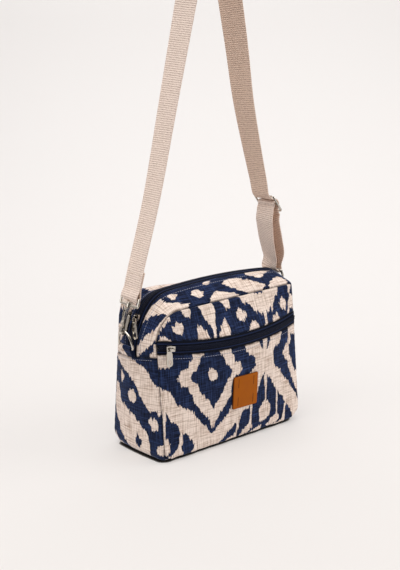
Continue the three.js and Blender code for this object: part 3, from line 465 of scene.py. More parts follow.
upperPrint = [
    ("cream", [(-116, 160), (-106, 169), (-100, 174), (-94, 178), (-90, 181), (-88, 175), (-88, 170),
               (-91, 170), (-95, 169), (-99, 165), (-103, 162), (-106, 158), (-109, 155), (-116, 148)]),
    ("cream", [(-112, 146), (-109, 148), (-106, 151), (-104, 154), (-101, 154), (-98, 155.5), (-96, 152),
               (-93, 149), (-91, 146), (-94, 142), (-110, 142)]),
    ("cream", [(-87, 163), (-83, 162), (-79, 168), (-76, 166), (-73, 165), (-71, 161), (-72, 156),
               (-74, 152.5), (-80, 153), (-85, 156), (-87, 158)]),
    ("cream", [(-71, 178), (-69, 184), (-61, 184), (-58, 177), (-57.5, 174), (-60, 169), (-63, 170),
               (-66, 170), (-68, 174)]),
    ("cream", [(-46, 184), (-25, 184), (-23, 175), (-22.5, 170), (-24, 164), (-27, 155), (-29, 148),
               (-31, 143), (-33, 137), (-37, 137), (-34, 144), (-32, 150), (-33, 152), (-37, 159),
               (-40, 165), (-42, 172)]),
    ("cream", [(-51, 160.5), (-50, 157), (-47, 156), (-45, 153), (-42, 151), (-41, 145), (-39, 143),
               (-40, 137), (-58, 138), (-57.5, 142), (-56, 145), (-54, 152)]),
    ("cream", [(-12, 160), (-10, 157), (-9, 150), (-9, 144), (-11, 137), (-29, 137), (-26, 144), (-22, 146),
               (-20, 152), (-17, 154), (-14, 156)]),
    ("cream", [(-13, 184), (0, 184), (3, 175), (1, 169), (-4, 169), (-7, 172), (-10, 176)]),
    ("cream", [(14, 167.5), (17, 165), (19, 162), (22, 162), (23, 158), (21, 154), (17, 152.5), (10, 152.5),
               (8, 158), (8.5, 163), (11, 165)]),
    ("cream", [(8, 184), (20, 178), (22, 172), (24, 170), (27, 171), (30, 170), (34, 165), (37, 161),
               (39, 155), (40, 154), (42, 158), (45, 156), (47, 152.5), (49, 155), (50, 158), (51, 152),
               (50, 147), (47, 137), (51, 137), (55, 148), (57, 155), (59, 153), (62, 156), (65, 158),
               (66, 153.5), (68, 155), (70, 160), (73, 165), (76, 170), (81, 171), (83, 176), (86, 184)]),
    ("navy", [(41, 185), (46, 178), (52, 177), (57, 178), (61, 185)]),
    ("cream", [(30, 150.5), (33, 149), (35, 148), (37, 143), (38.5, 137), (18, 137), (22, 143), (27, 146)]),
    ("cream", [(88, 167), (91, 164), (94, 160), (94, 155), (92, 151), (87, 151), (82, 155), (81, 160),
               (84, 162)]),
    ("cream", [(73, 150.5), (75, 148), (77, 143), (78, 137), (60, 137), (64, 144), (67, 149), (70, 148)]),
    ("cream", [(100, 184), (109, 184), (106, 174), (103, 169), (99, 169), (101, 175)]),
    ("cream", [(103, 168), (114, 160), (114, 146), (101, 150), (98, 146), (94, 144), (97, 152),
               (100, 160)]),
]
# side of the lower gusset: y across and height
sidePrint = [
    ("cream", [(40, 140), (12, 133), (-4, 126), (-10, 122), (-16, 120), (-22, 118), (-30, 115), (-35, 109),
               (-36, 104), (-40, 100), (-43, 97), (-48, 96), (-60, 95), (-60, 60), (-47, 61), (-45, 65),
               (-38, 64), (-33, 62), (-30, 66), (-26, 70), (-22, 74), (-19, 78), (-16, 84), (-12, 91),
               (-8, 95), (-2, 99), (2, 102), (10, 105), (18, 109), (22, 112), (27, 116), (40, 124)]),
    ("cream", [(-8, 84), (-3, 84), (3, 81), (5, 76), (3, 70), (-2, 68), (-4, 66), (-6, 68), (-10, 69),
               (-12, 75), (-11, 80)]),
    ("cream", [(11, 96), (14, 101), (17, 104), (20, 101), (20, 94), (18, 88), (15, 89), (13, 92)]),
    ("cream", [(-45, 53), (-41, 55), (-37, 53), (-35, 56), (-32, 53), (-31, 49), (-34, 45), (-36, 40),
               (-39, 38), (-41, 41), (-45, 42), (-46, 47)]),
    ("cream", [(27, 85), (26, 78), (23, 74), (24, 68), (22, 62), (18, 60), (15, 61), (12, 59), (8, 56),
               (5, 55), (4, 51), (0, 54), (-4, 52), (-8, 50), (-10, 45), (-14, 46), (-17, 40), (-20, 38),
               (-24, 37), (-28, 30), (-30, 22), (-31, 12), (-28, 6), (-22, -6), (6, -6), (12, 8), (20, 16),
               (24, 20), (29, 24), (30, 32), (35, 38), (37, 45), (38, 55), (36, 75), (34, 84)]),
    ("navy", [(-9, 30), (-7, 26), (-4, 22), (-4, 17), (-7, 13), (-12, 12), (-16, 16), (-16, 21), (-12, 25),
              (-10, 27)]),
    ("cream", [(-60, 24), (-50, 24), (-45, 21), (-42, 17), (-44, 12), (-49, 9), (-60, 10)]),
    ("cream", [(27, 5), (36, 10), (42, 17), (46, 12), (44, 2), (34, -2)]),
]
# zip gusset: run along the strip from the left joint, and y across
topPrint = [
    ("cream", [(-4, -12), (8, -10), (13, -15), (17, -21), (21, -24), (28, -30), (33, -35), (36, -39),
               (46, -41), (60, -42), (56, -50), (30, -50), (24, -42), (20, -38), (14, -33), (8, -27),
               (2, -20), (-4, -16)]),
    ("cream", [(-4, -36), (5, -37), (10, -41), (20, -43), (20, -50), (-4, -50)]),
    ("cream", [(37, -19), (46, -20), (56, -22), (67, -23), (66, -26), (68, -29), (72, -33), (82, -36),
               (94, -40), (88, -44), (84, -50), (56, -50), (60, -41), (56, -36), (52, -33), (46, -28),
               (44, -24), (40, -21)]),
    ("cream", [(72, -25), (76, -23.5), (83, -24), (88, -27), (84, -29), (80, -31), (76, -30), (74, -28)]),
    ("cream", [(105, -31), (108, -28), (113, -26.5), (118, -28), (123, -31), (119, -35.5), (114, -36),
               (108, -34)]),
    ("cream", [(131, -21), (134, -19.5), (144, -20), (140, -23), (133, -25)]),
    ("cream", [(124, -50), (126, -41.5), (130, -38), (136, -35), (142, -34), (150, -36), (158, -38),
               (166, -40), (175, -43), (178, -50)]),
    ("cream", [(155, -27), (162, -24), (170, -23), (182, -24), (190, -27), (197, -29), (204, -31),
               (210, -34), (214, -37), (218, -38), (212, -41.5), (200, -50), (190, -50), (186, -43),
               (180, -40), (173, -37), (170, -35), (163, -33), (160, -30)]),
    ("cream", [(200, -21), (206, -16), (210, -12), (218, -10), (228, -10), (231, -13), (229, -18),
               (236, -19), (243, -20), (234, -22), (229, -24), (222, -28), (214, -29), (208, -26)]),
    ("cream", [(218, -50), (222, -40), (228, -36), (236, -33), (244, -31), (250, -34), (252, -40),
               (252, -50)]),
    # far side of the zip
    ("cream", [(-4, 12), (6, 11), (10, 13), (12, 20), (11, 50), (-4, 50)]),
    ("cream", [(15, 16), (22, 12), (29, 12), (32, 18), (32, 30), (30, 50), (14, 50), (15, 26)]),
    ("cream", [(47, 6), (52, 1), (57, 5), (58, 20), (56, 50), (46, 50), (45, 24)]),
    ("cream", [(74, 9), (84, 6), (95, 4), (106, 0), (118, -2), (122, 4), (119, 12), (124, 20), (118, 36),
               (76, 36), (73, 22)]),
    ("cream", [(168, 20), (176, 10), (184, 14), (182, 24), (172, 27)]),
    ("cream", [(140, 14), (148, 8), (156, 14), (150, 22), (142, 22)]),
    ("cream", [(232, 8), (246, 2), (262, 4), (268, 16), (256, 26), (240, 20)]),
]
printReach = 12.0


def insideBy(a, b, outline):  # how far inside an outline each place lies, in millimetres
    nearest = np.full(a.shape, printReach ** 2)
    inside = np.zeros(a.shape, bool)
    for (a0, b0), (a1, b1) in zip(outline, outline[1:] + outline[:1]):
        da, db = a1 - a0, b1 - b0
        t = np.clip(((a - a0) * da + (b - b0) * db) / (da * da + db * db), 0, 1)
        nearest = np.minimum(nearest, (a - a0 - t * da) ** 2 + (b - b0 - t * db) ** 2)
        crosses = (b0 > b) != (b1 > b)
        if db:
            inside ^= crosses & (a < a0 + (b - b0) / db * da)
    return np.sqrt(nearest) * np.where(inside, 1, -1)


def depthIn(chart, a, b):
    dye = np.full(a.shape, -printReach)
    for colour, outline in chart:
        depth = insideBy(a, b, outline)
        dye = np.maximum(dye, depth) if colour == "cream" else np.minimum(dye, -depth)
    return dye


# above 0 on cream, below 0 on navy, and how squarely the edge cuts the warp
def dyeFrom(chart, a, b, warp=(0, 1)):
    dye = depthIn(chart, a, b)
    step = 0.8
    slope = (depthIn(chart, a + step * warp[0], b + step * warp[1]) - dye) / step
    return {"dye": dye, "cut": np.clip(np.abs(slope), 0, 1)}


creaseShadeReach = 1.5


def creaseShadeBy(*distances):  # painted shade in a seam or under a fold
    return np.max([np.exp(-(np.maximum(0, d) / creaseShadeReach) ** 2) for d in distances], axis=0)


# materials
# Printed slub linen: woven warp and weft of uneven threads, so the dye ends in teeth along the warp and
# fine streaks cross both colours; threads are drawn at 0.95 mm, about twice the real ones, so that they show
clothLook = {
    "navy": "0a1024", "navyStreak": "2d3e68", "cream": "f3e4da", "creamStreak": "ab917f", "creaseShade": "6e6560",
    "toothWidth": 2.4, "toothLength": 9.0, "toothDepth": 3.8, "fineTooth": 1.2, "fineDepth": 0.9,
    "threadWidth": 0.95, "slubWidth": 1.9, "slubLength": 60.0, "gather": 7.0, "blur": 0.35,
    "sheen": "c3cff0", "relief": 0.0004,
}


def makeCloth():
    material, tree, shader = newMaterial("printedSlubLinen", {
        "Roughness": 0.9, "IOR": 1.5, "Specular IOR Level": 0.14,
        "Sheen Weight": 0.8, "Sheen Roughness": 0.25, "Sheen Tint": hexColour(clothLook["sheen"])})
    uv = addNode(tree, "ShaderNodeUVMap", {"uv_map": "cloth"})
    dye = addNode(tree, "ShaderNodeAttribute", {"attribute_name": "dye"})

    def threads(across, along, detail=1.0):
        scale = (1 / across, 1 / along, 0)
        place = addNode(tree, "ShaderNodeVectorMath", {"operation": "MULTIPLY", 1: scale},
                        {0: uv.outputs["UV"]})
        return addNode(tree, "ShaderNodeTexNoise", {"noise_dimensions": "2D", "Scale": 1.0, "Detail": detail},
                       {"Vector": place.outputs[0]}).outputs["Fac"]

    look = clothLook
    teeth = threads(look["toothWidth"], look["toothLength"])
    fine = threads(look["fineTooth"], look["toothLength"] / 3)
    pushed = addNode(tree, "ShaderNodeMath", {"operation": "MULTIPLY_ADD", 1: 2 * look["toothDepth"],
                                              2: -look["toothDepth"]}, {0: teeth})
    frayed = addNode(tree, "ShaderNodeMath", {"operation": "MULTIPLY_ADD", 1: 2 * look["fineDepth"],
                                              2: -look["fineDepth"]}, {0: fine})
    reach = addNode(tree, "ShaderNodeMapRange", {"To Min": 0.3}, {
        "Value": addNode(tree, "ShaderNodeAttribute", {"attribute_name": "cut"}).outputs["Fac"]})
    edge = addNode(tree, "ShaderNodeMath", {"operation": "ADD"}, {0: pushed.outputs[0], 1: frayed.outputs[0]})
    edge = addNode(tree, "ShaderNodeMath", {"operation": "MULTIPLY_ADD"},
                   {0: edge.outputs[0], 1: reach.outputs[0], 2: dye.outputs["Fac"]})
    mask = addNode(tree, "ShaderNodeMapRange", {
        "interpolation_type": "SMOOTHSTEP", "From Min": -look["blur"], "From Max": look["blur"]},
        {"Value": edge.outputs[0]})
    warp = threads(look["threadWidth"], look["slubLength"] / 3)
    weft = threads(look["slubLength"] / 3, look["threadWidth"])
    slubUp = threads(look["slubWidth"], look["slubLength"])
    slubAcross = threads(look["slubLength"], look["slubWidth"])
    streaks = None
    for source, low, high, amount in ((warp, 0.46, 0.7, 0.5), (weft, 0.46, 0.7, 0.5),
                                      (slubUp, 0.6, 0.74, 0.3), (slubAcross, 0.6, 0.74, 0.3)):
        line = addNode(tree, "ShaderNodeMapRange", {"From Min": low, "From Max": high, "To Max": amount},
                       {"Value": source})
        if streaks is None:
            streaks = line.outputs[0]
        else:
            streaks = addNode(tree, "ShaderNodeMath", {"operation": "ADD", "use_clamp": True},
                              {0: streaks, 1: line.outputs[0]}).outputs[0]
    cream = addNode(tree, "ShaderNodeMix", {"data_type": "RGBA", 6: hexColour(look["cream"]),
                                            7: hexColour(look["creamStreak"])}, {0: streaks})
    navy = addNode(tree, "ShaderNodeMix", {"data_type": "RGBA", 6: hexColour(look["navy"]),
                                           7: hexColour(look["navyStreak"])}, {0: streaks})
    colour = addNode(tree, "ShaderNodeMix", {"data_type": "RGBA"},
                     {0: mask.outputs[0], 6: navy.outputs[2], 7: cream.outputs[2]})
    gathered = addNode(tree, "ShaderNodeMapRange", {"From Min": 0.3, "From Max": 0.6, "To Min": 0.25},
                       {"Value": threads(look["gather"], look["gather"])})
    # painted shade: the colour is darkened in seams and under folds, in patches of noise
    seams = addNode(tree, "ShaderNodeAttribute", {"attribute_name": "creaseShade"})
    creaseShade = addNode(tree, "ShaderNodeMath", {"operation": "MULTIPLY"},
                     {0: seams.outputs["Fac"], 1: gathered.outputs[0]})
    colour = addNode(tree, "ShaderNodeMix", {
        "data_type": "RGBA", "blend_type": "MULTIPLY", 7: hexColour(look["creaseShade"])},
        {0: creaseShade.outputs[0], 6: colour.outputs[2]})
    tree.links.new(colour.outputs[2], shader.inputs["Base Color"])
    weave = addNode(tree, "ShaderNodeMath", {"operation": "ADD"}, {0: warp, 1: weft})
    bump = addNode(tree, "ShaderNodeBump", {"Strength": 0.35, "Distance": look["relief"]},
                   {"Height": weave.outputs[0]})
    tree.links.new(bump.outputs[0], shader.inputs["Normal"])
    return material


# Cotton webbing: thick weft ribs across the strap crossed by cords, matt and a little uneven, with painted
# shade in the grooves between ribs and on the reverse face; ribs are drawn at 2.5 mm, coarser than the real
# ones, so that they show
webbingLook = {"thread": "f9e8dd", "grooveShade": "8a6655", "reverse": "f5ece4", "rib": 2.5, "cord": 2.8,
               "unevenAcross": 3.0, "unevenAlong": 1.7, "relief": 0.0004}


def makeWebbing():
    material, tree, shader = newMaterial("cottonWebbing", {
        "Roughness": 0.92, "IOR": 1.5, "Specular IOR Level": 0.12,
        "Sheen Weight": 0.05, "Sheen Roughness": 0.5})
    uv = addNode(tree, "ShaderNodeUVMap", {"uv_map": "cloth"})
    split = addNode(tree, "ShaderNodeSeparateXYZ", None, {0: uv.outputs["UV"]})
    waves = []
    for socket, size in ((split.outputs[1], webbingLook["rib"]), (split.outputs[0], webbingLook["cord"])):
        turn = addNode(tree, "ShaderNodeMath", {"operation": "MULTIPLY", 1: 2 * math.pi / size}, {0: socket})
        waves.append(addNode(tree, "ShaderNodeMath", {"operation": "SINE"}, {0: turn.outputs[0]}).outputs[0])
    woven = addNode(tree, "ShaderNodeMath", {"operation": "MULTIPLY"}, {0: waves[0], 1: waves[1]})
    ribbed = addNode(tree, "ShaderNodeMath", {"operation": "MULTIPLY_ADD", 1: 0.5},
                     {0: woven.outputs[0], 2: waves[0]})
    scale = (1 / webbingLook["unevenAcross"], 1 / webbingLook["unevenAlong"], 0)
    place = addNode(tree, "ShaderNodeVectorMath", {"operation": "MULTIPLY", 1: scale}, {0: uv.outputs["UV"]})
    uneven = addNode(tree, "ShaderNodeTexNoise", {"noise_dimensions": "2D", "Scale": 1.0, "Detail": 2.0},
                     {"Vector": place.outputs[0]})
    # painted shade: the grooves between ribs are darkened, unevenly
    level = addNode(tree, "ShaderNodeMapRange", {
        "From Min": -1.4, "From Max": 1.2, "To Min": 1.0, "To Max": 0.0}, {"Value": ribbed.outputs[0]})
    shade = addNode(tree, "ShaderNodeMath", {"operation": "MULTIPLY"},
                    {0: level.outputs[0], 1: uneven.outputs["Fac"]})
    colour = addNode(tree, "ShaderNodeMix", {"data_type": "RGBA", 6: hexColour(webbingLook["thread"]),
                                             7: hexColour(webbingLook["grooveShade"])}, {0: shade.outputs[0]})
    # painted shade: the strap's reverse face is darkened browner, as if in shade
    reverse = addNode(tree, "ShaderNodeAttribute", {"attribute_name": "reverse"})
    colour = addNode(tree, "ShaderNodeMix", {"data_type": "RGBA", "blend_type": "MULTIPLY",
                                             7: hexColour(webbingLook["reverse"])},
                     {0: reverse.outputs["Fac"], 6: colour.outputs[2]})
    tree.links.new(colour.outputs[2], shader.inputs["Base Color"])
    bump = addNode(tree, "ShaderNodeBump", {"Strength": 0.5, "Distance": webbingLook["relief"]},
                   {"Height": ribbed.outputs[0]})
    tree.links.new(bump.outputs[0], shader.inputs["Normal"])
    return material


# Dyed polyester zip tape: tight diagonal weave, nearly black navy with a bluer woven cord; the weave is drawn
# at 1.7 mm, coarser than the real one, so that it shows
tapeLook = {"dark": "04070f", "pale": "0b1123", "line": "1c2747", "cord": 4.9, "cordHalf": 0.6, "weave": 0.26,
            "relief": 0.0002}


def makeTape():
    material, tree, shader = newMaterial("polyesterZipTape", {
        "Roughness": 0.75, "IOR": 1.5, "Specular IOR Level": 0.1})
    uv = addNode(tree, "ShaderNodeUVMap", {"uv_map": "cloth"})
    waves = addNode(tree, "ShaderNodeTexWave", {
        "wave_type": "BANDS", "bands_direction": "DIAGONAL", "Scale": tapeLook["weave"], "Distortion": 0.6,
        "Detail": 1.0}, {"Vector": uv.outputs["UV"]})
    across = addNode(tree, "ShaderNodeSeparateXYZ", None, {0: uv.outputs["UV"]})
    across = addNode(tree, "ShaderNodeMath", {"operation": "ABSOLUTE"}, {0: across.outputs[0]})
    byCord = addNode(tree, "ShaderNodeMath", {
        "operation": "COMPARE", 1: tapeLook["cord"], 2: tapeLook["cordHalf"]}, {0: across.outputs[0]})
    plain = addNode(tree, "ShaderNodeMix", {"data_type": "RGBA", 6: hexColour(tapeLook["dark"]),
                                            7: hexColour(tapeLook["pale"])}, {0: waves.outputs["Fac"]})
    colour = addNode(tree, "ShaderNodeMix", {"data_type": "RGBA", 7: hexColour(tapeLook["line"])},
                     {0: byCord.outputs[0], 6: plain.outputs[2]})
    tree.links.new(colour.outputs[2], shader.inputs["Base Color"])
    bump = addNode(tree, "ShaderNodeBump", {"Strength": 0.3, "Distance": tapeLook["relief"]},
                   {"Height": waves.outputs["Fac"]})
    tree.links.new(bump.outputs[0], shader.inputs["Normal"])
    return material


# a colour clouded by another, with so many clouds to the metre
def makeClouded(name, finish, perMetre, detail, dark, pale, rough=None):
    material, tree, shader = newMaterial(name, finish)
    place = addNode(tree, "ShaderNodeTexCoord").outputs["Object"]
    noise = addNode(tree, "ShaderNodeTexNoise", {"Scale": perMetre, "Detail": detail}, {"Vector": place})
    colour = addNode(tree, "ShaderNodeMix", {"data_type": "RGBA", 6: hexColour(dark), 7: hexColour(pale)},
                     {0: noise.outputs["Fac"]})
    tree.links.new(colour.outputs[2], shader.inputs["Base Color"])
    if rough:
        level = addNode(tree, "ShaderNodeMapRange", {"To Min": rough[0], "To Max": rough[1]},
                        {"Value": noise.outputs["Fac"]})
        tree.links.new(level.outputs[0], shader.inputs["Roughness"])
    return material


# Vegetable tanned cowhide: smooth finished grain about 0.9 mm wide, burnt darker in pressed lines and at the
# cut edge
leatherLook = {"tan": "964d03", "pale": "a95b09", "burnt": "4a2508", "grain": 1100.0, "cloud": 90.0,
               "relief": 0.0003}


def makeLeather():
    material, tree, shader = newMaterial("vegetableTannedLeather", {
        "Roughness": 0.6, "IOR": 1.5, "Specular IOR Level": 0.1})
    place = addNode(tree, "ShaderNodeTexCoord").outputs["Object"]
    grain = addNode(tree, "ShaderNodeTexVoronoi", {"Scale": leatherLook["grain"]}, {"Vector": place})
    cloudy = addNode(tree, "ShaderNodeTexNoise", {"Scale": leatherLook["cloud"], "Detail": 5.0},
                     {"Vector": place})
    tan = addNode(tree, "ShaderNodeMix", {
        "data_type": "RGBA", 6: hexColour(leatherLook["tan"]), 7: hexColour(leatherLook["pale"])},
        {0: cloudy.outputs["Fac"]})
    burn = addNode(tree, "ShaderNodeAttribute", {"attribute_name": "dye"})
    colour = addNode(tree, "ShaderNodeMix", {"data_type": "RGBA", 7: hexColour(leatherLook["burnt"])},
                     {0: burn.outputs["Fac"], 6: tan.outputs[2]})
    tree.links.new(colour.outputs[2], shader.inputs["Base Color"])
    rough = addNode(tree, "ShaderNodeMapRange", {"To Min": 0.45, "To Max": 0.65},
                    {"Value": cloudy.outputs["Fac"]})
    tree.links.new(rough.outputs[0], shader.inputs["Roughness"])
    bump = addNode(tree, "ShaderNodeBump", {"Strength": 0.25, "Distance": leatherLook["relief"]},
                   {"Height": grain.outputs["Distance"]})
    tree.links.new(bump.outputs[0], shader.inputs["Normal"])
    return material


linen = makeCloth()
webbing = makeWebbing()
zipTape = makeTape()
leather = makeLeather()
# Nylon coil: drawn plastic thread, smooth and slightly glossy, its dye a little uneven
zipCoil = makeClouded("nylonCoil", {"Roughness": 0.5, "IOR": 1.53, "Specular IOR Level": 0.15}, 900.0, 2.0,
                      "080d1b", "121a33")
# Nickel plated zinc: cast, tumbled and plated, bright with faint pitting about 0.4 mm across
nickel = makeClouded("nickelPlatedZinc", {"Metallic": 1.0, "Roughness": 0.2}, 2600.0, 2.0, "c4beb5", "d2ccc3",
                     (0.1, 0.17))
# Spun polyester sewing thread: slightly lustrous, with its ply drawn at 0.8 mm so that it shows
threadFinish = {"Roughness": 0.6, "IOR": 1.5, "Specular IOR Level": 0.4}
paleThread = makeClouded("paleSewingThread", threadFinish, 1200.0, 1.0, "7d8199", "b3b5c3")
beigeThread = makeClouded("beigeSewingThread", threadFinish, 1200.0, 1.0, "c9b5a5", "e2d3c6")
print("materials made")

# front and back walls
wallCloth = {"columns": 220, "pocketRows": 140, "upperRows": 70, "backColumns": 170, "backRows": 140,
             "pucker": 0.55, "sag": 0.8, "turnedIn": 0.8, "turnReach": 2, "backTurn": 96}


def clustered(count):  # shares from 0 to 1 with finer steps at both ends
    return 0.5 + 0.5 * np.sin(np.linspace(-0.5, 0.5, count + 1) * math.pi * 0.86) / math.sin(0.43 * math.pi)


def panelGrid(xs, rows, low, high):
    z = mix(low(xs)[None, :], high(xs)[None, :], clustered(rows)[:, None])
    return np.broadcast_to(xs[None, :], z.shape), z


def zipLow(x):
    return pocketZipAt(x) - zipHalf


def zipHigh(x):
    return pocketZipAt(x) + zipHalf


def outlineInside(x, z):  # distance in from the sewn outline, and the way out to it
    base = np.where(x < 0, bagForm["baseLeft"], bagForm["baseRight"])
    radius = np.where(z < 60, base, np.where(x < 0, bagForm["leftRadius"], bagForm["rightRadius"]))
    overX = np.abs(x) - halfWidth + radius
    overZ = np.abs(z - seamHeight / 2) - seamHeight / 2 + radius
    corner = (overX > 0) & (overZ > 0)
    across = np.where(corner, overX, overX > overZ)
    along = np.where(corner, overZ, overX <= overZ)
    reach = np.maximum(1e-6, np.hypot(across, along))
    distance = radius - np.where(corner, np.hypot(overX, overZ), np.maximum(overX, overZ))
    return distance, across / reach * np.sign(x), along / reach * np.sign(z - seamHeight / 2)


def squareInside(over, above, radius, reach, square):  # the same at a squarer corner
    across = np.maximum(1e-3, over / radius)
    upward = np.maximum(1e-3, above / reach)
    rho = (across ** square + upward ** square) ** (1 / square)
    slopeX = (across / rho) ** (square - 1) / radius
    slopeZ = (upward / rho) ** (square - 1) / reach
    slope = np.hypot(slopeX, slopeZ)
    return (1 - rho) / slope, slopeX / slope, slopeZ / slope


def frontInside(x, z):
    radius = bagForm["rightRadius"]
    square = squareInside(x - rightInner, z - rightFoot, radius, radius, frontSquare)
    corner = (x > rightInner) & (z > rightFoot)
    return [np.where(corner, new, old) for new, old in zip(square, outlineInside(x, z))]


def backInside(x, z):
    distance, wayX, wayZ = outlineInside(x, z)
    into, across, upward = squareInside(
        leftInner - x, z - leftFoot, bagForm["leftRadius"], backReach, backSquare)
    corner = (x < leftInner) & (z > leftFoot)
    top = (x >= leftInner) & (x < bagForm["backFade"]) & (z > leftFoot)
    distance = np.where(corner, into, np.where(top, backTopLimit(x) - z, distance))
    wayX = np.where(corner, -across, np.where(top, 0, wayX))
    return distance, wayX, np.where(corner, upward, np.where(top, 1, wayZ))


def seamRoll(distance):  # a sewn edge rolls in until it touches its neighbour on the seam's bisector
    radius = bagForm["seamRoll"]
    start = (1 + math.sqrt(2)) * radius
    turn = np.clip((start - distance) / radius, 0, 0.75 * math.pi)
    drawn = np.where(turn > 0, start - radius * np.sin(turn) - distance, 0)
    return drawn, radius * (1 - np.cos(turn))


# the bottom edge is soft: its seam is tucked under and stands a little off the floor, unevenly
baseLook = {"under": 5.5, "up": 3.8, "wave": 0.7, "waveSize": 24, "reach": 9.0, "flat": 16.0, "height": 22.0}


def baseTuck(x, z, inwards):
    share = 1 - smooth(0, baseLook["height"], z)
    up = baseLook["up"] + baseLook["wave"] * ripple(x, baseLook["waveSize"], inwards)
    return baseLook["under"] * share, up * share


def turnedIn(distance):  # how much farther the inner face is drawn in at a sewn edge
    return wallCloth["turnedIn"] * np.exp(-np.maximum(0, distance) / wallCloth["turnReach"])


# inwards is 1 on the front and -1 on the back
def sewnWall(name, x, z, face, inwards, chart, chartZ, folds, node):
    distance, wayX, wayZ = frontInside(x, z) if inwards > 0 else backInside(x, z)
    drawn, depth = seamRoll(distance)
    under, up = baseTuck(x, z, inwards)
    drawn = drawn + up * np.exp(-np.maximum(0, distance) / baseLook["reach"])
    depth = depth + under * roundOff(distance, baseLook["reach"])
    rolled = face + inwards * depth
    inner = rolled + inwards * cloth
    behind = drawn + turnedIn(distance)
    clothWall(name, np.stack([x - wayX * drawn, rolled, z - wayZ * drawn], -1),
              np.stack([x - wayX * behind, inner, z - wayZ * behind], -1), np.stack([x, z], -1),
              {**dyeFrom(chart, x * inwards, chartZ), "creaseShade": creaseShadeBy(distance, *folds)}, linen, [node])


def edgeWave(along, distance, size, seed, spread):  # puckers that fade away from a sewn edge
    return ripple(along, size, seed) * np.exp(-distance / spread) * (1 - np.exp(-distance / 2.5))


def zipFold(byZip):  # the cloth is folded under beside a zip
    return bagForm["foldDepth"] * roundOff(byZip, bagForm["foldReach"])


xs = mix(-halfWidth, halfWidth, clustered(wallCloth["columns"]))
x, z = panelGrid(xs, wallCloth["pocketRows"], baseLimit, zipLow)
bySide, byBase, byZip = halfWidth - np.abs(x), z - baseLimit(x), zipLow(x) - z
wave = edgeWave(z, bySide, 7, 1.0, 7) + 1.2 * edgeWave(x, byBase, 13, 2.0, 9)
wave = wave + 0.8 * edgeWave(x, byZip, 8, 3.0, 7)
sag = ripple(x + 0.4 * z, 62, 0.4) * ripple(z - 0.3 * x, 55, 1.9) * fullness(x, z)
sag = sag * smooth(0, 30, byBase) * smooth(0, 25, byZip)
face = frontY(x, z) - wallCloth["pucker"] * wave - wallCloth["sag"] * sag + zipFold(byZip)
sewnWall("pocketPanel", x, z, face, 1, pocketPrint, z, [byZip], "front_pocket_panel")

xs = mix(-halfWidth + 2.2, halfWidth - 0.6, clustered(wallCloth["columns"]))
x, z = panelGrid(xs, wallCloth["upperRows"], zipHigh, frontTopLimit)
bySide, byTop, byZip = halfWidth - np.abs(x), frontTopLimit(x) - z, z - zipHigh(x)
wave = edgeWave(x, byTop, 9, 4.0, 8) + 0.8 * edgeWave(x, byZip, 8, 5.0, 7)
wave = wave + 0.8 * edgeWave(z, bySide, 7, 6.0, 7)
face = frontY(x, z) - wallCloth["pucker"] * wave + zipFold(byZip)
sewnWall("upperPanel", x, z, face, 1, upperPrint, z, [byZip], "front_upper_panel")

xs = mix(-halfWidth, halfWidth, clustered(wallCloth["backColumns"]))
x, z = panelGrid(xs, wallCloth["backRows"], baseLimit, backTopLimit)
bySide, byBase, byTop = halfWidth - np.abs(x), z - baseLimit(x), backTopLimit(x) - z
wave = edgeWave(z, bySide, 8, 7.0, 8) + edgeWave(x, byBase, 12, 8.0, 9) + edgeWave(x, byTop, 9, 9.0, 8)
sag = ripple(x + 0.5 * z, 70, 2.2) * ripple(z - 0.3 * x, 60, 0.7) * fullness(x, z)
sag = sag * smooth(0, 30, np.minimum(byBase, byTop))
face = backY(x, z) + wallCloth["pucker"] * wave + 1.5 * wallCloth["sag"] * sag
turn = wallCloth["backTurn"]
mirrored = np.where(z < turn, z, 2 * turn - z)  # the print turns over at the height of the lozenge's eye
sewnWall("backPanel", x, z, face, -1, pocketPrint, mirrored, [], "back_panel")
print("front and back walls made")

# gussets
gussetCloth = {"step": 1.3, "lowerColumns": 90, "zipColumns": 36, "hem": 0.75, "hemReach": 9.0,
               "hemEdge": 0.9, "tuckIn": 0.8, "pucker": 0.5}
farOff = 99  # stands for no edge near


def acrossRows(low, high, columns):
    return mix(low[:, None], high[:, None], clustered(columns)[None, :])


lowerRun = outlineRun(True, gussetCloth["step"])
level = heightOf(lowerRun)
y = acrossRows(frontAt(level) - cloth, backAt(level) + cloth, gussetCloth["lowerColumns"])
middle = middleAt(level)[:, None]
length = runLength(lowerRun)[:, None] + 0 * y
flat = gussetGrid(lowerRun, y, 0, -gap / 2)
bySeam = np.minimum(y - y[:, :1], y[:, -1:] - y)
climbing = ~np.isnan(lowerRun[:, 4:5])
byHem = np.where(climbing, jointAt(y) - gap / 2 - flat[:, :, 2], farOff)
hemmed = smooth(gussetCloth["hemReach"], gussetCloth["hemReach"] - 2.5, byHem)
lift = gussetCloth["hem"] * (hemmed * smooth(0, 5, bySeam))
drawn, depth = seamRoll(bySeam)
inwards = np.sign(middle - y)
under, up = baseTuck(flat[:, :, 0], level[:, None], inwards)
tucked = 1 - smooth(0, baseLook["flat"], bySeam)
drawn = drawn + under * tucked
lift = lift - gussetCloth["hemEdge"] * roundOff(byHem, 1.4) - depth - up * tucked
offFloor = np.where(lowerRun[:, 3:4] < -0.9, 0, 1)
lift = lift + gussetCloth["pucker"] * edgeWave(length, bySeam, 8, 3.3, 8) * offFloor
lift = np.where(lowerRun[:, 3:4] < -0.2, np.minimum(lift, 0.0), lift)  # nothing bulges below the base
onSide = np.abs(lowerRun[:, 2:3]) > 0.35
side = dyeFrom(sidePrint, y, flat[:, :, 2])
under = dyeFrom(pocketPrint, flat[:, :, 0], y + 54)
marks = {key: np.where(onSide, side[key], under[key]) for key in side}
behind = drawn + turnedIn(bySeam)
clothWall("lowerGusset", gussetGrid(lowerRun, y + inwards * drawn, lift, -gap / 2),
          gussetGrid(lowerRun, y + inwards * behind, lift - cloth, -gap / 2),
          np.stack([y, length], -1), {**marks, "creaseShade": creaseShadeBy(bySeam, byHem)}, linen, ["lower_gusset"])

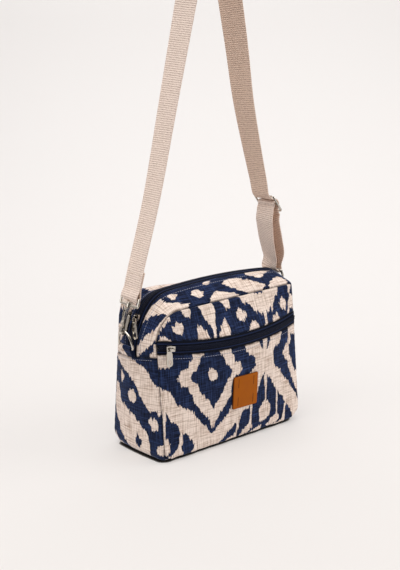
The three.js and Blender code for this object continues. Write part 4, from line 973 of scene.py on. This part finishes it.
upperRun = outlineRun(False, gussetCloth["step"])
level = heightOf(upperRun)
middle = zipMiddle(upperRun)
length = runLength(upperRun)
zipSides = {
    "zipGussetFront": (frontEdge(upperRun) - cloth, middle - zipHalf, "zip_gusset_front"),
    "zipGussetBack": (middle + zipHalf, backEdge(upperRun) + cloth, "zip_gusset_back"),
}
for name, (low, high, node) in zipSides.items():
    y = acrossRows(low, high, gussetCloth["zipColumns"])
    front = name.endswith("Front")
    bySeam = y - y[:, :1] if front else y[:, -1:] - y
    byZip = y[:, -1:] - y if front else y - y[:, :1]
    climbing = ~np.isnan(upperRun[:, 4:5])
    flat = gussetGrid(upperRun, y, 0, gap / 2)
    byJoint = np.where(climbing, flat[:, :, 2] - jointAt(y), farOff)
    drawn, depth = seamRoll(bySeam)
    lift = -depth - zipFold(byZip)
    lift = lift + gussetCloth["pucker"] * (edgeWave(length[:, None], bySeam, 9, 1.4, 7)
                                           + 0.7 * edgeWave(length[:, None], byZip, 7, 5.2, 6))
    lift = lift - gussetCloth["tuckIn"] * (1 - smooth(0, 5, byJoint))  # goes in under the lower gusset's hem
    run = length[:, None] + 0 * y
    inwards = 1 if front else -1
    behind = drawn + turnedIn(bySeam)
    clothWall(name, gussetGrid(upperRun, y + inwards * drawn, lift, gap / 2),
              gussetGrid(upperRun, y + inwards * behind, lift - cloth, gap / 2),
              np.stack([y, run], -1),
              {**dyeFrom(topPrint, run, y, (1, 0)), "creaseShade": creaseShadeBy(bySeam, byZip, byJoint)},
              linen, [node])
print("gussets made")

# zips
zipLook = {"sunk": 0.4, "thick": 0.8, "pitch": 1.5, "toothHalf": 1.45, "toothWide": 0.66, "toothRise": 0.9,
           "apart": 1.2, "middleRise": 0.62, "cordRise": 0.35, "cordAt": 4.6, "cordHalf": 0.8, "rows": 6}


def tapeWall(name, outer, inner, across, along, node):
    clothWall(name, outer, inner, np.stack([across, along], -1), {}, zipTape, [node])


def cordLine(byCoil):  # woven cord that stands up beside the coil
    return zipLook["cordRise"] * np.exp(-((np.abs(byCoil) - zipLook["cordAt"]) / zipLook["cordHalf"]) ** 2)


def lowerTapeTop(v):
    return pocketZipAt(v) - gap / 2


def upperTapeFoot(v):
    return pocketZipAt(v) + gap / 2


xs = np.linspace(-halfWidth + 1.6, halfWidth - 1.6, 121)
for name, low, high, node in (
        ("pocketTapeLower", lambda v: zipLow(v) + gap, lowerTapeTop, "pocket_zip_tape_lower"),
        ("pocketTapeUpper", upperTapeFoot, lambda v: zipHigh(v) - gap, "pocket_zip_tape_upper")):
    x, z = panelGrid(xs, zipLook["rows"], low, high)
    byCoil = z - pocketZipAt(x)
    face = frontY(x, z) + zipLook["sunk"] - cordLine(byCoil)
    back = frontY(x, z) + zipLook["sunk"] + zipLook["thick"]
    tapeWall(name, np.stack([x, face, z], -1), np.stack([x, back, z], -1), byCoil, x, node)

for name, low, high, node in (
        ("mainTapeFront", middle - zipHalf + gap, middle - gap / 2, "main_zip_tape_front"),
        ("mainTapeBack", middle + gap / 2, middle + zipHalf - gap, "main_zip_tape_back")):
    y = acrossRows(low, high, zipLook["rows"])
    byCoil = y - middle[:, None]
    lift = -zipLook["sunk"] + cordLine(byCoil)
    tapeWall(name, gussetGrid(upperRun, y, lift, gap / 2),
             gussetGrid(upperRun, y, -zipLook["sunk"] - zipLook["thick"], gap / 2), byCoil,
             length[:, None] + 0 * y, node)


def coilPiece(name, line, outs, node):  # two rows of coils that meet in the middle
    places, alongs, outs = evenSteps(line, outs, zipLook["pitch"])
    sides = unit(np.cross(unit(outs), unit(alongs)))
    centres, directions, ups = [], [], []
    for sign, shift in ((-1, 0.0), (1, 0.5)):
        centres.append(places + sign * zipLook["apart"] * sides + unit(outs) * zipLook["middleRise"]
                       + shift * zipLook["pitch"] * unit(alongs))
        directions.append(sides)
        ups.append(outs)
    points, faces = beads(np.concatenate(centres), np.concatenate(directions), np.concatenate(ups),
                          (zipLook["toothHalf"], zipLook["toothWide"], zipLook["toothRise"]))
    meshPiece(name, points, faces, zipCoil, [node])


def frontLine(xs, zs):  # a line on the front wall, and the way out from it
    slope = np.gradient(frontY(xs, zs), xs)
    return np.stack([xs, frontY(xs, zs), zs], 1), np.stack([slope, -np.ones_like(xs), 0 * xs], 1)


xs = np.linspace(-halfWidth + 2.5, halfWidth - 3.5, 300)
coilPiece("pocketCoil", *frontLine(xs, pocketZipAt(xs)), "pocket_zip_coil")
ridge = gussetGrid(upperRun, middle[:, None], 0, gap)[:, 0]
tangent = unit(np.gradient(ridge, axis=0))
coilPiece("mainCoil", ridge[1:-1], unit(np.cross(tangent, [0, 1, 0]) * -1)[1:-1], "main_zip_coil")
print("zips made")

# stitching
stitchLook = {"length": 2.4, "gap": 1.0, "half": 0.28, "rise": 0.28, "proud": 0.1, "inset": 5, "pocket": 4.6,
              "zip": 6.5, "hem": 2.6}


def stitchPiece(name, lines, material):
    parts = [evenSteps(line, outs, stitchLook["length"] + stitchLook["gap"]) for line, outs in lines]
    centres, alongs, outs = (np.concatenate([p[k] for p in parts]) for k in range(3))
    points, faces = beads(centres + stitchLook["proud"] * unit(outs), alongs, outs,
                          (stitchLook["length"] / 2, stitchLook["half"], stitchLook["rise"]))
    meshPiece(name, points, faces, material)


def gussetLine(run, ys):  # a line along the gusset, and the way out from it
    line = gussetGrid(run, ys[:, None], 0.0, 0)[:, 0]
    across = gussetGrid(run, ys[:, None] + 1, 0.0, 0)[:, 0] - line
    outs = np.cross(unit(np.gradient(line, axis=0)), across)
    facing = (outs * np.stack([run[:, 2], 0 * ys, run[:, 3]], 1)).sum(1)
    return line, unit(outs) * np.sign(facing)[:, None]


inset = stitchLook["inset"]
xs = np.linspace(-halfWidth + inset, halfWidth - inset, 240)
pocketStitch = frontLine(xs, zipLow(xs) - stitchLook["pocket"])
fromZip = zipHalf + stitchLook["zip"]
zipStitches = [gussetLine(upperRun[3:-3], (middle + sign * fromZip)[3:-3]) for sign in (-1, 1)]
hemStitches = []
for sign in (-1, 1):
    ys = np.linspace(frontAt(126) + inset, backAt(126) - inset, 90)
    spot = np.tile(station(sign * halfWidth, 0, sign, 0, 1.0, 12.0), (len(ys), 1))
    line = gussetGrid(spot, ys[:, None], gussetCloth["hem"], -stitchLook["hem"])[:, 0]
    hemStitches.append((line, np.tile([[float(sign), 0, 0]], (len(ys), 1))))
stitchPiece("bodyStitching", [pocketStitch, *zipStitches, *hemStitches], paleThread)
print("stitching made")

# strap
strapLook = {"width": 30, "thick": 1.8, "tail": 72, "edge": 0.9, "step": 2.0}
eyeBar = {"wire": 1.5, "high": 40.4}
sliderSpot = {"x": 101, "y": -9, "z": 280, "tilt": math.radians(35), "reach": 12, "wire": 1.3}
pegSpot = {"x": 16.3, "y": -10, "z": 650, "radius": 17.6, "turn": 34.6}
# x, y, z and turn about Z in degrees
leftStrand = [(-82.6, -9.5, 307, 2), (-53.3, -11, 419, 8), (-26.4, -15, 530, 17)]
rightStrand = [(49.4, -4, 528, 32), (57, -6, 470, 24), (63.8, -8, 410, 15), (76.4, -9, 348, 7),
               (85.6, -9, 310, 2)]
outerLayer = [(107.4, -8, 258), (114.6, -5, 235), (121.6, -1, 213)]
innerLayer = [(113.2, 1, 203.5, -11), (109.2, -1, 214, -10), (101.8, -4.5, 233, -6), (97, -7.5, 250, -2),
              (95.2, -8.6, 260, 0)]


def hookFrame(top, pull, side):
    top = np.array(top, float)
    axis = unit(np.array(pull, float) - top)
    across = unit(np.cross(axis, [side, 0, 0]))
    return top, np.cross(across, axis), across, axis


def curveAt(p0, p1, p2, p3, w):  # centripetal curve between the middle two of four rows
    pairs = ((p0, p1), (p1, p2), (p2, p3))
    d0, d1, d2 = (max(1e-4, np.linalg.norm((b - a)[:3]) ** 0.5) for a, b in pairs)
    m1 = ((p1 - p0) / d0 - (p2 - p0) / (d0 + d1) + (p2 - p1) / d1) * d1
    m2 = ((p2 - p1) / d1 - (p3 - p1) / (d1 + d2) + (p3 - p2) / d2) * d1
    return p1 + m1 * w + (3 * (p2 - p1) - 2 * m1 - m2) * w ** 2 + (2 * (p1 - p2) + m1 + m2) * w ** 3


def withEnds(rows):  # a row more before the first and after the last, straight on
    rows = np.array(rows, float)
    return np.concatenate([[2 * rows[0] - rows[1]], rows, [2 * rows[-1] - rows[-2]]])


def throughPoints(rows, count):  # curve through rows of x, y, z and turn
    rows = withEnds(rows)
    found = []
    for t in np.linspace(0, len(rows) - 3, count + 1):
        k = min(int(t), len(rows) - 4)
        found.append(curveAt(*rows[k:k + 4], t - k))
    return np.array(found)


strapPath = []


def addStation(point, turn=0.0, across=None):
    if across is None:
        across = np.array([-math.sin(math.radians(turn)), math.cos(math.radians(turn)), 0])
    strapPath.append((np.array(point, float), across))


wrap = eyeBar["wire"] + gap + strapLook["thick"] / 2
layer = strapLook["thick"] / 2 + gap / 2
leftHook = hookFrame((-126, -4.5, 158), leftStrand[0][:3], -1)
rightHook = hookFrame((129.5, -1, 150), (117.6, 3, 192), 1)


def hookPoint(hook, p, q):
    return hook[0] + hook[1] * p + hook[3] * q


def acrossHook(hook):
    return hook[2] * np.sign(hook[2][1])


def roundEye(hook, sign, first):  # half a turn round the eye's bar
    for i in range(9):
        angle = first + sign * math.pi * i / 8
        point = hookPoint(hook, wrap * math.cos(angle), high + wrap * math.sin(angle))
        addStation(point, across=acrossHook(hook))


def sliderPoint(s, n):
    tilt = sliderSpot["tilt"]
    return [sliderSpot["x"] + s * math.sin(tilt) + n * math.cos(tilt), sliderSpot["y"],
            sliderSpot["z"] - s * math.cos(tilt) + n * math.sin(tilt)]


leftAcross = acrossHook(leftHook)
high = eyeBar["high"]
for p, q in ((-layer, strapLook["tail"]), (-layer, 60), (-layer, 50), (-wrap + 0.2, high + 3.6)):
    addStation(hookPoint(leftHook, p, q), across=leftAcross)
roundEye(leftHook, 1, math.pi)
for p, q in ((wrap - 0.2, high + 3.6), (layer, 50), (layer, 60), (layer, strapLook["tail"] + 2)):
    addStation(hookPoint(leftHook, p, q), across=leftAcross)
pegTurn = math.radians(pegSpot["turn"])


def pegPoint(angle):
    reach = pegSpot["radius"] * math.cos(angle)
    return [pegSpot["x"] - reach * math.cos(pegTurn), pegSpot["y"] - reach * math.sin(pegTurn),
            pegSpot["z"] + pegSpot["radius"] * math.sin(angle)]


start = [*hookPoint(leftHook, layer, strapLook["tail"] + 2), 0]
for row in throughPoints([start, *leftStrand, [*pegPoint(0), pegSpot["turn"]]], 16)[1:-1]:
    addStation(row[:3], row[3])
for i in range(11):
    addStation(pegPoint(math.pi * i / 10), pegSpot["turn"])
for row in throughPoints([[*pegPoint(math.pi), pegSpot["turn"]], *rightStrand], 18)[1:]:
    addStation(row[:3], row[3])
below = sliderSpot["wire"] + gap + strapLook["thick"] / 2
above = below + strapLook["thick"] + gap
reach = sliderSpot["reach"]
for s, n in ((-16, -below - 0.3), (-reach, -below), (-9, -below + 1), (-5, above - 1.8), (-2.6, above),
             (2.6, above), (5.2, above - 2), (9.4, -below + 1), (reach, -below - 0.1), (15, -below - 0.3)):
    addStation(sliderPoint(s, n))
for point in outerLayer:
    addStation(point)
addStation(hookPoint(rightHook, wrap + 2.6, high + 8), across=acrossHook(rightHook))
roundEye(rightHook, -1, 0.0)
addStation(hookPoint(rightHook, -wrap - 1.2, high + 5.2), -5)
for row in innerLayer:
    addStation(row[:3], row[3])
for s, n in ((6.5, -10.2), (3.2, -7.4), (1.0, -below - 0.8)):
    addStation(sliderPoint(s, n))
for i in range(7):
    angle = math.pi + math.pi * i / 6
    addStation(sliderPoint(below * math.sin(angle), below * math.cos(angle)))
addStation(sliderPoint(1.6, below))

# finer steps between the stations
joined = withEnds([np.concatenate([p, a]) for p, a in strapPath])
fine = [joined[1]]
for k in range(len(joined) - 3):
    four = joined[k:k + 4]
    steps = max(2, int(np.linalg.norm((four[2] - four[1])[:3]) / strapLook["step"]))
    fine += [curveAt(*four, w) for w in np.arange(1, steps + 1) / steps]
fine = np.array(fine)
centre, across = fine[:, :3], fine[:, 3:]
runs = unit(np.gradient(centre, axis=0))
across = unit(across - (across * runs).sum(1, keepdims=True) * runs)
normal = np.cross(across, runs)
strapRun = np.concatenate([[0], np.cumsum(np.linalg.norm(np.diff(centre, axis=0), axis=1))])
half, edge = strapLook["width"] / 2, strapLook["edge"]
section = [(a, edge) for a in np.linspace(edge - half, half - edge, 13)]
section += [(half - edge + edge * math.cos(t), edge * math.sin(t)) for t in np.radians([60, 30, 0, -30, -60])]
section += [(a, -edge) for a in np.linspace(half - edge, edge - half, 13)]
section += [(edge - half - edge * math.cos(t), edge * math.sin(t)) for t in np.radians([-60, -30, 0, 30, 60])]
section = np.array(section)
points = centre[:, None] + section[None, :, 0:1] * across[:, None] + section[None, :, 1:2] * normal[:, None]
uv = np.stack(np.broadcast_arrays(section[None, :, 0], strapRun[:, None]), -1)
meshPiece("strapWebbing", points.reshape(-1, 3), ringFaces(len(centre), len(section)), webbing,
          ["strap"], uv.reshape(-1, 2), {"reverse": np.tile(section[:, 1] > 0, len(centre))})
print("strap made, length", round(strapRun[-1], 1), "mm")

# stitched rectangle that holds the folded tail at the left eye
boxLook = {"from": 50, "to": 68, "half": 11.5}
corners = [(boxLook[end], side * boxLook["half"])
           for end, side in (("from", -1), ("from", 1), ("to", 1), ("to", -1), ("from", -1))]
boxLines = []
for (q0, a0), (q1, a1) in zip(corners, corners[1:]):
    share = np.linspace(0, 1, 20)[:, None]
    for face in (1, -1):
        origin = leftHook[0] + leftHook[1] * face * (layer + edge)
        line = origin + leftHook[3] * mix(q0, q1, share) + leftAcross * mix(a0, a1, share)
        boxLines.append((line, np.tile(leftHook[1] * face, (20, 1))))
stitchPiece("strapStitching", boxLines, beigeThread)

# leather label
labelLook = {"x": 11, "z": 65.4, "width": 40, "height": 41.5, "tilt": math.radians(-1.5), "thick": 1.6,
             "seat": 0.5, "corner": 2.2, "edge": 0.7, "steps": 96, "line": 12.3, "lineHalf": 0.45,
             "lineDepth": 0.4, "lineFrom": 5.5, "lineTo": 17, "lineBurn": 0.75, "edgeBurn": 0.8}
grid = np.linspace(-1, 1, labelLook["steps"] + 1)
a, b = np.meshgrid(grid * labelLook["width"] / 2, grid * labelLook["height"] / 2)
overA = np.abs(a) - labelLook["width"] / 2 + labelLook["corner"]
overB = np.abs(b) - labelLook["height"] / 2 + labelLook["corner"]
corner = (overA > 0) & (overB > 0)
shrink = np.where(corner, np.maximum(overA, overB) / np.maximum(1e-6, np.hypot(overA, overB)), 1)
a = np.where(corner, np.sign(a) * (labelLook["width"] / 2 - labelLook["corner"] + overA * shrink), a)
b = np.where(corner, np.sign(b) * (labelLook["height"] / 2 - labelLook["corner"] + overB * shrink), b)
rim = np.where(corner, labelLook["corner"] - np.hypot(overA * shrink, overB * shrink),
               np.minimum(labelLook["corner"] - overA, labelLook["corner"] - overB))
byLine = np.abs(np.abs(a) - labelLook["line"])
pressed = 1 - smooth(labelLook["lineHalf"] * 0.5, labelLook["lineHalf"] * 1.6, byLine)
pressed = pressed * smooth(labelLook["lineFrom"], labelLook["lineFrom"] + 1, np.abs(b))
pressed = pressed * (1 - smooth(labelLook["lineTo"], labelLook["lineTo"] + 1, np.abs(b)))
x = labelLook["x"] + a * math.cos(labelLook["tilt"]) - b * math.sin(labelLook["tilt"])
z = labelLook["z"] + a * math.sin(labelLook["tilt"]) + b * math.cos(labelLook["tilt"])
rise = labelLook["seat"] + labelLook["thick"] - labelLook["edge"] * roundOff(rim, 1.0)
rise = rise - labelLook["lineDepth"] * pressed
byEdge = 1 - smooth(0, labelLook["edge"], rim)
burnt = np.clip(labelLook["lineBurn"] * pressed + labelLook["edgeBurn"] * byEdge, 0, 1)
face = np.stack([x, frontY(x, z) - rise, z], -1)
back = np.stack([x, frontY(x, z) - labelLook["seat"] + 0.1, z], -1)
clothWall("leatherLabel", face, back, np.stack([a, b], -1), {"dye": burnt}, leather, ["leather_label"])
print("label made")

# metal fittings: the frame's own solids with their edges eased
metalEdges = {
    "main_zip_slider": 0.35, "pocket_zip_slider": 0.35, "main_zip_pull": 0.3, "pocket_zip_pull": 0.3,
    "hook_body_left": 0.7, "hook_body_right": 0.7, "hook_gate_left": 0.5, "hook_gate_right": 0.5,
    "hook_eye_left": 0.4, "hook_eye_right": 0.4, "strap_slider": 0.4, "d_ring_left": 0.4, "d_ring_right": 0.4,
}
easeLook = {"flat": math.radians(2), "sharp": math.radians(32), "shade": math.radians(50)}
tabLook = {"edge": 0.4, "shift": 3.5, "slope": 0.5, "middle": 131}
bodies = frame["record"]["behaviour"]["bodies"]
bodyOf = {node: body for body, members in bodies.items() for node in members}


def easedCopy(node, name, width, material):
    mesh = frame["nodes"][node].data.copy()
    mesh.name = name
    work = bmesh.new()
    work.from_mesh(mesh)
    bmesh.ops.remove_doubles(work, verts=work.verts, dist=1e-6)
    bmesh.ops.dissolve_limit(work, angle_limit=easeLook["flat"], verts=work.verts, edges=work.edges)
    sharp = [e for e in work.edges if len(e.link_faces) == 2 and e.calc_face_angle() > easeLook["sharp"]]
    bmesh.ops.bevel(work, geom=sharp, offset=width / 1000, segments=2, profile=0.5, affect="EDGES",
                    clamp_overlap=True)
    bmesh.ops.recalc_face_normals(work, faces=work.faces)
    work.to_mesh(mesh)
    work.free()
    mesh.polygons.foreach_set("use_smooth", [True] * len(mesh.polygons))
    mesh.set_sharp_from_angle(angle=easeLook["shade"])
    mesh.materials.clear()
    mesh.materials.append(material)
    piece = bpy.data.objects.new(name, mesh)
    bpy.context.scene.collection.objects.link(piece)
    even = piece.modifiers.new("evenNormals", "WEIGHTED_NORMAL")  # flat faces reflect as flat
    even.keep_sharp = True
    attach(piece, bodyOf[node])
    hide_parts(node)
    return piece


def plainName(node):
    first, *rest = node.split("_")
    return first + "".join(word.capitalize() for word in rest)


for node, width in metalEdges.items():
    easedCopy(node, plainName(node), width, nickel)
for node in ("ring_tab_left", "ring_tab_right"):
    piece = easedCopy(node, plainName(node), tabLook["edge"], linen)
    spots = np.array([corner.co for corner in piece.data.vertices]) * 1000 - strapTop
    slant = tabLook["slope"] * (spots[:, 2] - tabLook["middle"])
    dye = spots[:, 1] + tabLook["shift"] - slant  # its far half falls on a cream part of the print
    piece.data.attributes.new("dye", "FLOAT", "POINT").data.foreach_set("value", dye.astype(np.float32))
    clothMap = piece.data.uv_layers.new(name="cloth")
    for corner in piece.data.loops:
        at = piece.data.vertices[corner.vertex_index].co * 1000
        clothMap.data[corner.index].uv = (at.y, at.z + at.x)
print("fittings made")

# floor, light and camera
stageLook = {"floor": "a9a7a6", "glow": "fffaf7", "strength": 0.41, "gap": "2e2b2a", "contact": 0.0045,
             "falloff": 7.0, "front": -0.8, "flat": 0.6, "bend": 0.5, "wall": 1.4, "half": 0.5}
viewLook = {"azimuth": -39.4, "elevation": 14.1, "roll": -1.57, "distance": 1.4, "target": (-5.4, 0, 190.3),
            "focalPixels": 1142, "framePixels": 570}
azimuth, elevation, roll = (math.radians(viewLook[k]) for k in ("azimuth", "elevation", "roll"))
level = math.cos(elevation)
back = np.array([math.sin(azimuth) * level, -math.cos(azimuth) * level, math.sin(elevation)])
target = (np.array(viewLook["target"]) + strapTop) / 1000
eye = target + back * viewLook["distance"]
right = unit(np.cross(-back, [0, 0, 1]))
up = np.cross(right, -back)
turned = (math.cos(roll) * right + math.sin(roll) * up, -math.sin(roll) * right + math.cos(roll) * up)
lens = bpy.data.cameras.new("photoCamera")
lens.sensor_width = 36
lens.lens = viewLook["focalPixels"] / viewLook["framePixels"] * lens.sensor_width
lens.clip_end = 100
camera = bpy.data.objects.new("photoCamera", lens)
rows = [[turned[0][k], turned[1][k], back[k], eye[k]] for k in range(3)]
camera.matrix_world = Matrix(rows + [[0, 0, 0, 1]])
bpy.context.scene.collection.objects.link(camera)
bpy.context.scene.camera = camera

# pale sweep: floor that bends up into a wall behind the bag
ahead = unit(np.array([-back[0], -back[1], 0]))
aside = np.array([ahead[1], -ahead[0], 0])
floorLevel = strapTop[2] / 1000
profile = [(stageLook["front"], 0.0), (0.0, 0.0)]
profile += [(stageLook["flat"] + stageLook["bend"] * math.sin(t), stageLook["bend"] * (1 - math.cos(t)))
            for t in np.linspace(0, math.pi / 2, 24)]
profile.append((stageLook["flat"] + stageLook["bend"], stageLook["bend"] + stageLook["wall"]))
sweepPoints = [ahead * t + aside * s * stageLook["half"] + np.array([0, 0, floorLevel + h])
               for t, h in profile for s in (-1, 1)]
sweepMesh = bpy.data.meshes.new("paleSweep")
sweepMesh.from_pydata([list(p) for p in sweepPoints], [],
                      [[2 * k, 2 * k + 1, 2 * k + 3, 2 * k + 2] for k in range(len(profile) - 1)])
sweepMesh.polygons.foreach_set("use_smooth", [True] * len(sweepMesh.polygons))
sweep = bpy.data.objects.new("paleSweep", sweepMesh)
bpy.context.scene.collection.objects.link(sweep)
# White acrylic sheet lit from behind: even and pale, with faint shadows; a painted contact shadow from
# ambient occlusion darkens its colour and glow in the gap under the bag
sheet, sheetTree, sheetShader = newMaterial("backlitAcrylic", {
    "Roughness": 0.95, "Specular IOR Level": 0.1, "Emission Color": hexColour(stageLook["glow"])})
# painted contact shadow: ambient occlusion darkens the sheet's colour and glow right under the bag
hidden = addNode(sheetTree, "ShaderNodeAmbientOcclusion", {"samples": 8, "Distance": stageLook["contact"]})
contactShade = addNode(sheetTree, "ShaderNodeMath", {"operation": "POWER", 1: stageLook["falloff"]},
               {0: hidden.outputs["AO"]})
shades = {"data_type": "RGBA", 6: hexColour(stageLook["gap"]), 7: hexColour(stageLook["floor"])}
shaded = addNode(sheetTree, "ShaderNodeMix", shades, {0: contactShade.outputs[0]})
sheetTree.links.new(shaded.outputs[2], sheetShader.inputs["Base Color"])
glow = addNode(sheetTree, "ShaderNodeMath", {"operation": "MULTIPLY", 1: stageLook["strength"]},
               {0: contactShade.outputs[0]})
sheetTree.links.new(glow.outputs[0], sheetShader.inputs["Emission Strength"])
sweepMesh.materials.append(sheet)

# room darker on the camera's side, a soft key from above, a panel at each side, a bank over the backdrop
roomLook = {"dim": 0.1, "bright": 0.62, "near": -0.9, "far": 0.6, "warmth": "fff8f3"}
lampLook = {
    "keySoftbox": {"energy": 38.0, "size": 2.2, "colour": "fffdfa",
                   "spot": np.array([-0.6, -0.5, 1.55]), "aim": target},
    "rightPanel": {"energy": 18.0, "size": 1.4, "colour": "fffdfa",
                   "spot": np.array([1.3, -1.2, 0.1]), "aim": target},
    "leftPanel": {"energy": 9.0, "size": 1.4, "colour": "fffdfa",
                  "spot": np.array([-1.7, 0.3, 0.2]), "aim": target},
    "backdropBank": {"energy": 11.5, "size": 0.8, "colour": "f8fbff",
                     "spot": 0.5 * ahead + np.array([0, 0, 0.9]), "aim": 1.1 * ahead + np.array([0, 0, 0.5])},
}
world = bpy.data.worlds.new("warmRoom")
bpy.context.scene.world = world
world.use_nodes = True
background = world.node_tree.nodes["Background"]
background.inputs["Color"].default_value = hexColour(roomLook["warmth"])
facing = addNode(world.node_tree, "ShaderNodeVectorMath", {"operation": "DOT_PRODUCT", 1: tuple(ahead)},
                 {0: addNode(world.node_tree, "ShaderNodeTexCoord").outputs["Generated"]})
ranges = {"From Min": roomLook["near"], "From Max": roomLook["far"], "To Min": roomLook["dim"],
          "To Max": roomLook["bright"]}
strength = addNode(world.node_tree, "ShaderNodeMapRange", ranges, {"Value": facing.outputs["Value"]})
world.node_tree.links.new(strength.outputs[0], background.inputs["Strength"])
for name, look in lampLook.items():
    lampData = bpy.data.lights.new(name, "AREA")
    lampData.energy = look["energy"]
    lampData.color = hexColour(look["colour"])[:3]
    lampData.size = look["size"]
    lamp = bpy.data.objects.new(name, lampData)
    spot = Vector(look["spot"])
    facing = (Vector(look["aim"]) - spot).to_track_quat("-Z", "Y").to_matrix().to_4x4()
    lamp.matrix_world = Matrix.Translation(spot) @ facing
    bpy.context.scene.collection.objects.link(lamp)
bpy.context.scene.view_settings.view_transform = "Standard"
print("stage set")
